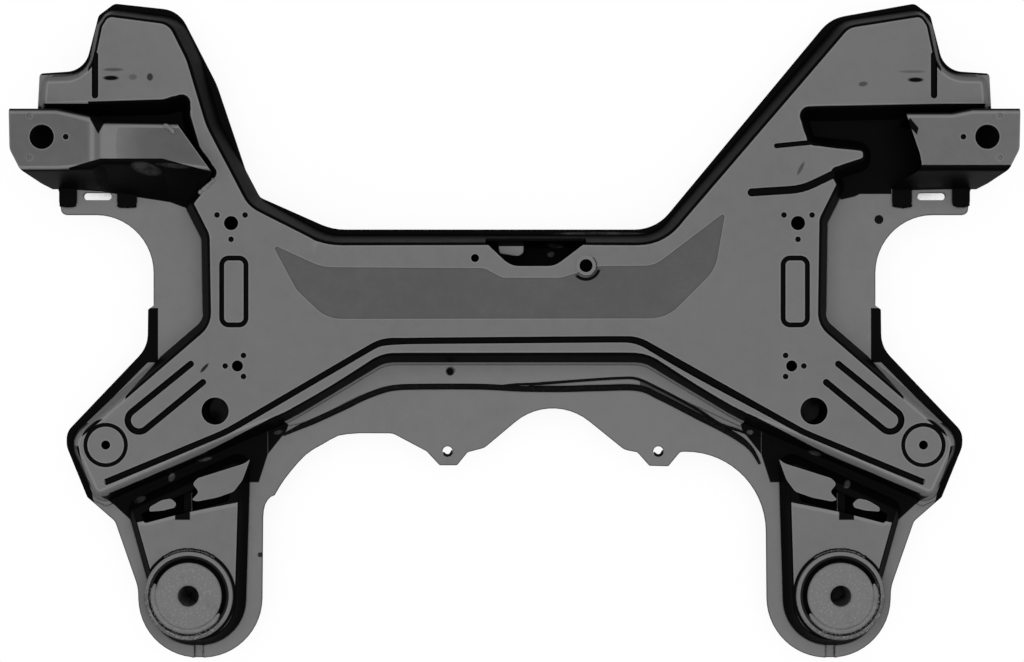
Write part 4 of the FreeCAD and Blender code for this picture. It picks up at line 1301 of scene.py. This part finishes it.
@dataclass
class Seams:
    """The weld beads that show on the frame, and black flat beads along the seam, the lap and the tab holes
    that stand in for the shade there, in millimetres.
    """

    shop: Workshop
    collar: tuple = (70.5, 66.0)
    top: float = 66.0
    flange: float = 32.6
    foot: float = 34.4
    foot_steps: int = 5
    foot_bow: float = 0.5
    tab_holes: tuple = (((-67.0, -119.0), "left"), ((144.0, -119.0), "right"))
    hole_edge: float = 4.3
    seam_wide: float = 6.4
    lap_wide: float = 3.0
    feet: tuple = (("outer", 439.5, 453.5, 126.6), ("inner", 379.0, 396.0, 125.8))
    box_welds: tuple = (
        ("rear", [(-342.0, 203.0, 85.9), (-337.0, 199.5, 85.9), (-334.0, 196.0, 85.8)]),
        ("front", [(-297.0, 150.5, 66.4), (-303.5, 144.0, 66.2), (-310.5, 138.0, 65.4)]),
    )
    seam: tuple = (
        (-231.5, -102.5), (-214.5, -94.5), (-194.5, -85.5), (-169.5, -74.0), (-152.5, -65.5), (-134.5, -58.5),
        (-119.5, -55.0), (-94.5, -54.0), (-34.5, -54.0), (5.5, -56.0), (45.5, -56.5), (85.5, -55.5),
        (123.5, -55.5), (145.5, -64.5), (165.5, -74.5), (185.5, -85.0), (205.5, -95.0), (225.5, -106.5),
        (237.5, -117.5), (245.5, -131.5),
    )
    lap: tuple = (
        (-14.5, -52.5), (25.5, -51.0), (65.5, -48.0), (105.5, -45.5), (123.5, -46.5), (145.5, -56.5),
        (165.5, -67.0), (185.5, -78.5), (205.5, -91.5), (225.5, -98.5), (235.5, -103.5),
    )

    def build(self) -> None:
        """Lay each bead along its path."""
        ring = arc_points(self.collar, 10.0, self.top + 0.1, (-70.0, 45.0), 16)
        self.shop.weld("collar_weld", ring, 0.55)
        self.weld_feet()
        for name, path in self.box_welds:
            self.shop.weld("box_weld_" + name, path, 1.0, Slot.DISC_STEEL)
        # Painted shade: black flat beads on the seam, the lap and the tab-hole edges stand in for the shade
        # lines there.
        for stem, points, wide in (("seam", self.seam, self.seam_wide), ("lap", self.lap, self.lap_wide)):
            self.shop.flat_bead(stem + "_sealer", [(x, y, self.flange - 1.1) for x, y in points], wide)
        for centre, word in self.tab_holes:
            arc = arc_points(centre, self.hole_edge, self.flange - 3.2, (-170.0, 15.0), 12)
            self.shop.flat_bead("tab_hole_edge_" + word, arc, self.lap_wide)

    def weld_feet(self) -> None:
        """Lay the short curved welds at the feet of the horn brackets."""
        for side in Side:
            for name, near, far, y in self.feet:
                path = []
                for i in range(self.foot_steps + 1):
                    x = near + (far - near) * i / self.foot_steps
                    bow = abs(i - self.foot_steps / 2) * self.foot_bow
                    path.append((side.value * x, y + bow, self.foot))
                self.shop.weld("foot_weld_%s_%s" % (name, side.word), path)


@dataclass
class Fittings:
    """Small pressed sheets inside the frame that show through its openings, in millimetres."""

    shop: Workshop
    sheet: float = 2.0
    rounding: float = 3.0
    stay: tuple = ((-17.0, 91.5), (-15.5, 78.5), (4.0, 75.5), (9.5, 79.0), (9.5, 90.0), (5.0, 91.5))
    stay_levels: tuple = (38.0, 40.5)
    stay_foot: float = 2.5
    leg_inset: float = 3.0
    leg_back: float = 2.0
    edge_round: float = 0.5
    step: tuple = ((261.4, -124.5), (268.0, -129.5), (315.0, -144.3), (319.9, -150.3), (313.5, -158.2),
                   (320.9, -166.1), (315.0, -168.1), (295.1, -164.2), (278.2, -158.2), (269.3, -146.3))
    pad: tuple = ((334.8, -169.6), (340.7, -164.1), (350.7, -166.1), (362.6, -173.1), (362.6, -178.1),
                  (348.7, -177.1), (336.8, -174.1))
    floor_levels: tuple = (51.5, 53.2)
    plug: tuple = ((0.0, 30.0, 0.2), (4.4, 30.0, 0.3), (4.6, 33.2, 1.2), (0.0, 33.6, 0.2))
    plug_centre: tuple = (364.5, 113.0)

    def build(self) -> None:
        """Make the stay in the notch, the steps on the pocket floors and the plug."""
        work = self.sheet_step(self.stay, *self.stay_levels)
        self.add_leg(work)
        self.dress("notch_stay", work)
        for side in Side:
            for stem, outline in (("step", self.step), ("pad", self.pad)):
                placed = [(side.value * x, y) for x, y in outline]
                self.dress("pocket_%s_%s" % (stem, side.word), self.sheet_step(placed, *self.floor_levels))
        self.shop.adopt(Turned("clip_plug", self.plug, self.plug_centre, 24).build(), Slot.BUSH_RUBBER)

    def sheet_step(self, outline: tuple, low: float, high: float) -> bmesh.types.BMesh:
        """Return one sheet step with its corners rounded in plan.

        Args:
            outline: Corners in plan.
            low: Lower face.
            high: Upper face.

        Returns:
            The step's mesh, still open to changes.
        """
        work = bmesh.new()
        points = eased([(x, y, self.rounding) for x, y in outline])
        face = work.faces.new([work.verts.new((x * MM, y * MM, low * MM)) for x, y in points])
        lifted = bmesh.ops.extrude_face_region(work, geom=[face])
        risen = [item for item in lifted["geom"] if isinstance(item, bmesh.types.BMVert)]
        bmesh.ops.translate(work, verts=risen, vec=(0, 0, (high - low) * MM))
        return work

    def add_leg(self, work: bmesh.types.BMesh) -> None:
        """Stand the stay on a bent leg at its rear edge.

        Args:
            work: The stay's mesh, changed in place.
        """
        left = min(x for x, _ in self.stay) + self.leg_inset
        right = max(x for x, _ in self.stay) - self.leg_inset
        rear = max(y for _, y in self.stay) - self.leg_back
        tall = sum(self.stay_levels) / 2 - self.stay_foot
        leg = bmesh.ops.create_cube(work, size=MM)["verts"]
        bmesh.ops.scale(work, verts=leg, vec=(right - left, self.sheet, tall))
        place = ((left + right) / 2, rear, self.stay_foot + tall / 2)
        bmesh.ops.translate(work, verts=leg, vec=[value * MM for value in place])

    def dress(self, name: str, work: bmesh.types.BMesh) -> None:
        """Round the edges of a sheet and give it the frame's coat.

        Args:
            name: Name of the piece.
            work: Its finished mesh.
        """
        piece = finished_object(name, work)
        bevel = piece.modifiers.new("edge", "BEVEL")
        bevel.width = self.edge_round * MM
        bevel.segments = 2
        bevel.limit_method = "ANGLE"
        bevel.angle_limit = math.radians(40)
        self.shop.adopt(piece, Slot.COATED_STEEL)


@dataclass
class Studio:
    """The pale floor, soft lights and the camera straight above, in metres."""

    focus_x: float = -2.5 * MM
    focus_y: float = 1.5 * MM
    focus_z: float = 33.0 * MM
    distance: float = 2.5
    photo_width: float = 1.024
    sensor: float = 36.0
    floor_half: float = 20.0
    floor_grey: float = 0.015
    shade_reach: float = 0.35
    shade_ramps: tuple = ((0.11, 0.27, 0.94), (0.27, 0.9, 0.06))
    lamps: tuple = (
        ("panel", (0.0, 0.1, 3.4), 5.0, 5.0, 130.0),
        ("strip_left", (-2.4, -0.6, 0.9), 0.3, 2.4, 5.0),
        ("strip_right", (2.4, -0.6, 0.9), 0.3, 2.4, 5.0),
    )
    world_light: float = 0.12

    def build(self) -> None:
        """Make the floor, the lights, the world and the camera."""
        self.build_floor()
        self.build_lights()
        self.build_camera()
        bpy.context.scene.view_settings.view_transform = "Standard"

    def build_floor(self) -> None:
        """Add a floor that glows white to the eye, with its glow turned off under the part and in its bores
        by an occlusion mask, as painted shade.
        """
        mesh = bpy.data.meshes.new("floor")
        s = self.floor_half
        mesh.from_pydata([(-s, -s, 0), (s, -s, 0), (s, s, 0), (-s, s, 0)], [], [(0, 1, 2, 3)])
        floor = linked("floor", mesh)
        shop = Shader("floor_white")
        diffuse = shop.node("ShaderNodeBsdfDiffuse", "BSDF", {}, {"Color": grey(self.floor_grey)})
        glow = shop.node("ShaderNodeEmission", "Emission", {}, {"Color": grey(1.0), "Strength": 1.0})
        rays = ("Is Camera Ray", "Is Glossy Ray", "Is Transmission Ray")
        seen = union(*(shop.node("ShaderNodeLightPath", kind, {}, {}) for kind in rays))
        # Painted shade: occlusion turns the glow off near the part and in its bores, leaving the dark floor
        # grey.
        sky = shop.node("ShaderNodeAmbientOcclusion", "AO", {"samples": 16}, {"Distance": self.shade_reach})
        deep, wide = (sky.ramp(low, high) * share for low, high, share in self.shade_ramps)
        mixed = shop.node("ShaderNodeMixShader", "Shader", {}, {0: seen * (deep + wide), 1: diffuse, 2: glow})
        shop.tree.links.new(mixed.socket, shop.output.inputs["Surface"])
        mesh.materials.append(shop.material)

    def build_lights(self) -> None:
        """Add one broad overhead panel, two low side strips and a dim world."""
        for name, place, wide, tall, watts in self.lamps:
            data = bpy.data.lights.new(name, "AREA")
            data.shape = "RECTANGLE"
            data.size = wide
            data.size_y = tall
            data.energy = watts
            lamp = linked(name, data)
            lamp.location = place
            lamp.rotation_euler = (-Vector(place)).to_track_quat("-Z", "Y").to_euler()
        world = bpy.data.worlds.new("studio")
        world.use_nodes = True
        background = world.node_tree.nodes["Background"]
        background.inputs["Color"].default_value = grey(1.0)
        background.inputs["Strength"].default_value = self.world_light
        bpy.context.scene.world = world

    def build_camera(self) -> None:
        """Add the camera that frames the part as the photograph does."""
        data = bpy.data.cameras.new("camera")
        data.sensor_width = self.sensor
        data.lens = self.sensor * self.distance / self.photo_width
        data.clip_end = 50.0
        camera = linked("camera", data)
        camera.location = (self.focus_x, self.focus_y, self.focus_z + self.distance)
        bpy.context.scene.camera = camera


def main() -> None:
    """Build the dressed subframe and its studio in order."""
    logging.basicConfig(level=logging.INFO, format="%(name)s %(message)s")
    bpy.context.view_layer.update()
    shop = Workshop(frame)
    Studio().build()
    Shells(shop).build()
    for side in Side:
        RearBush(shop, side).build()
    Seams(shop).build()
    Fittings(shop).build()


if __name__ == "__main__":
    main()
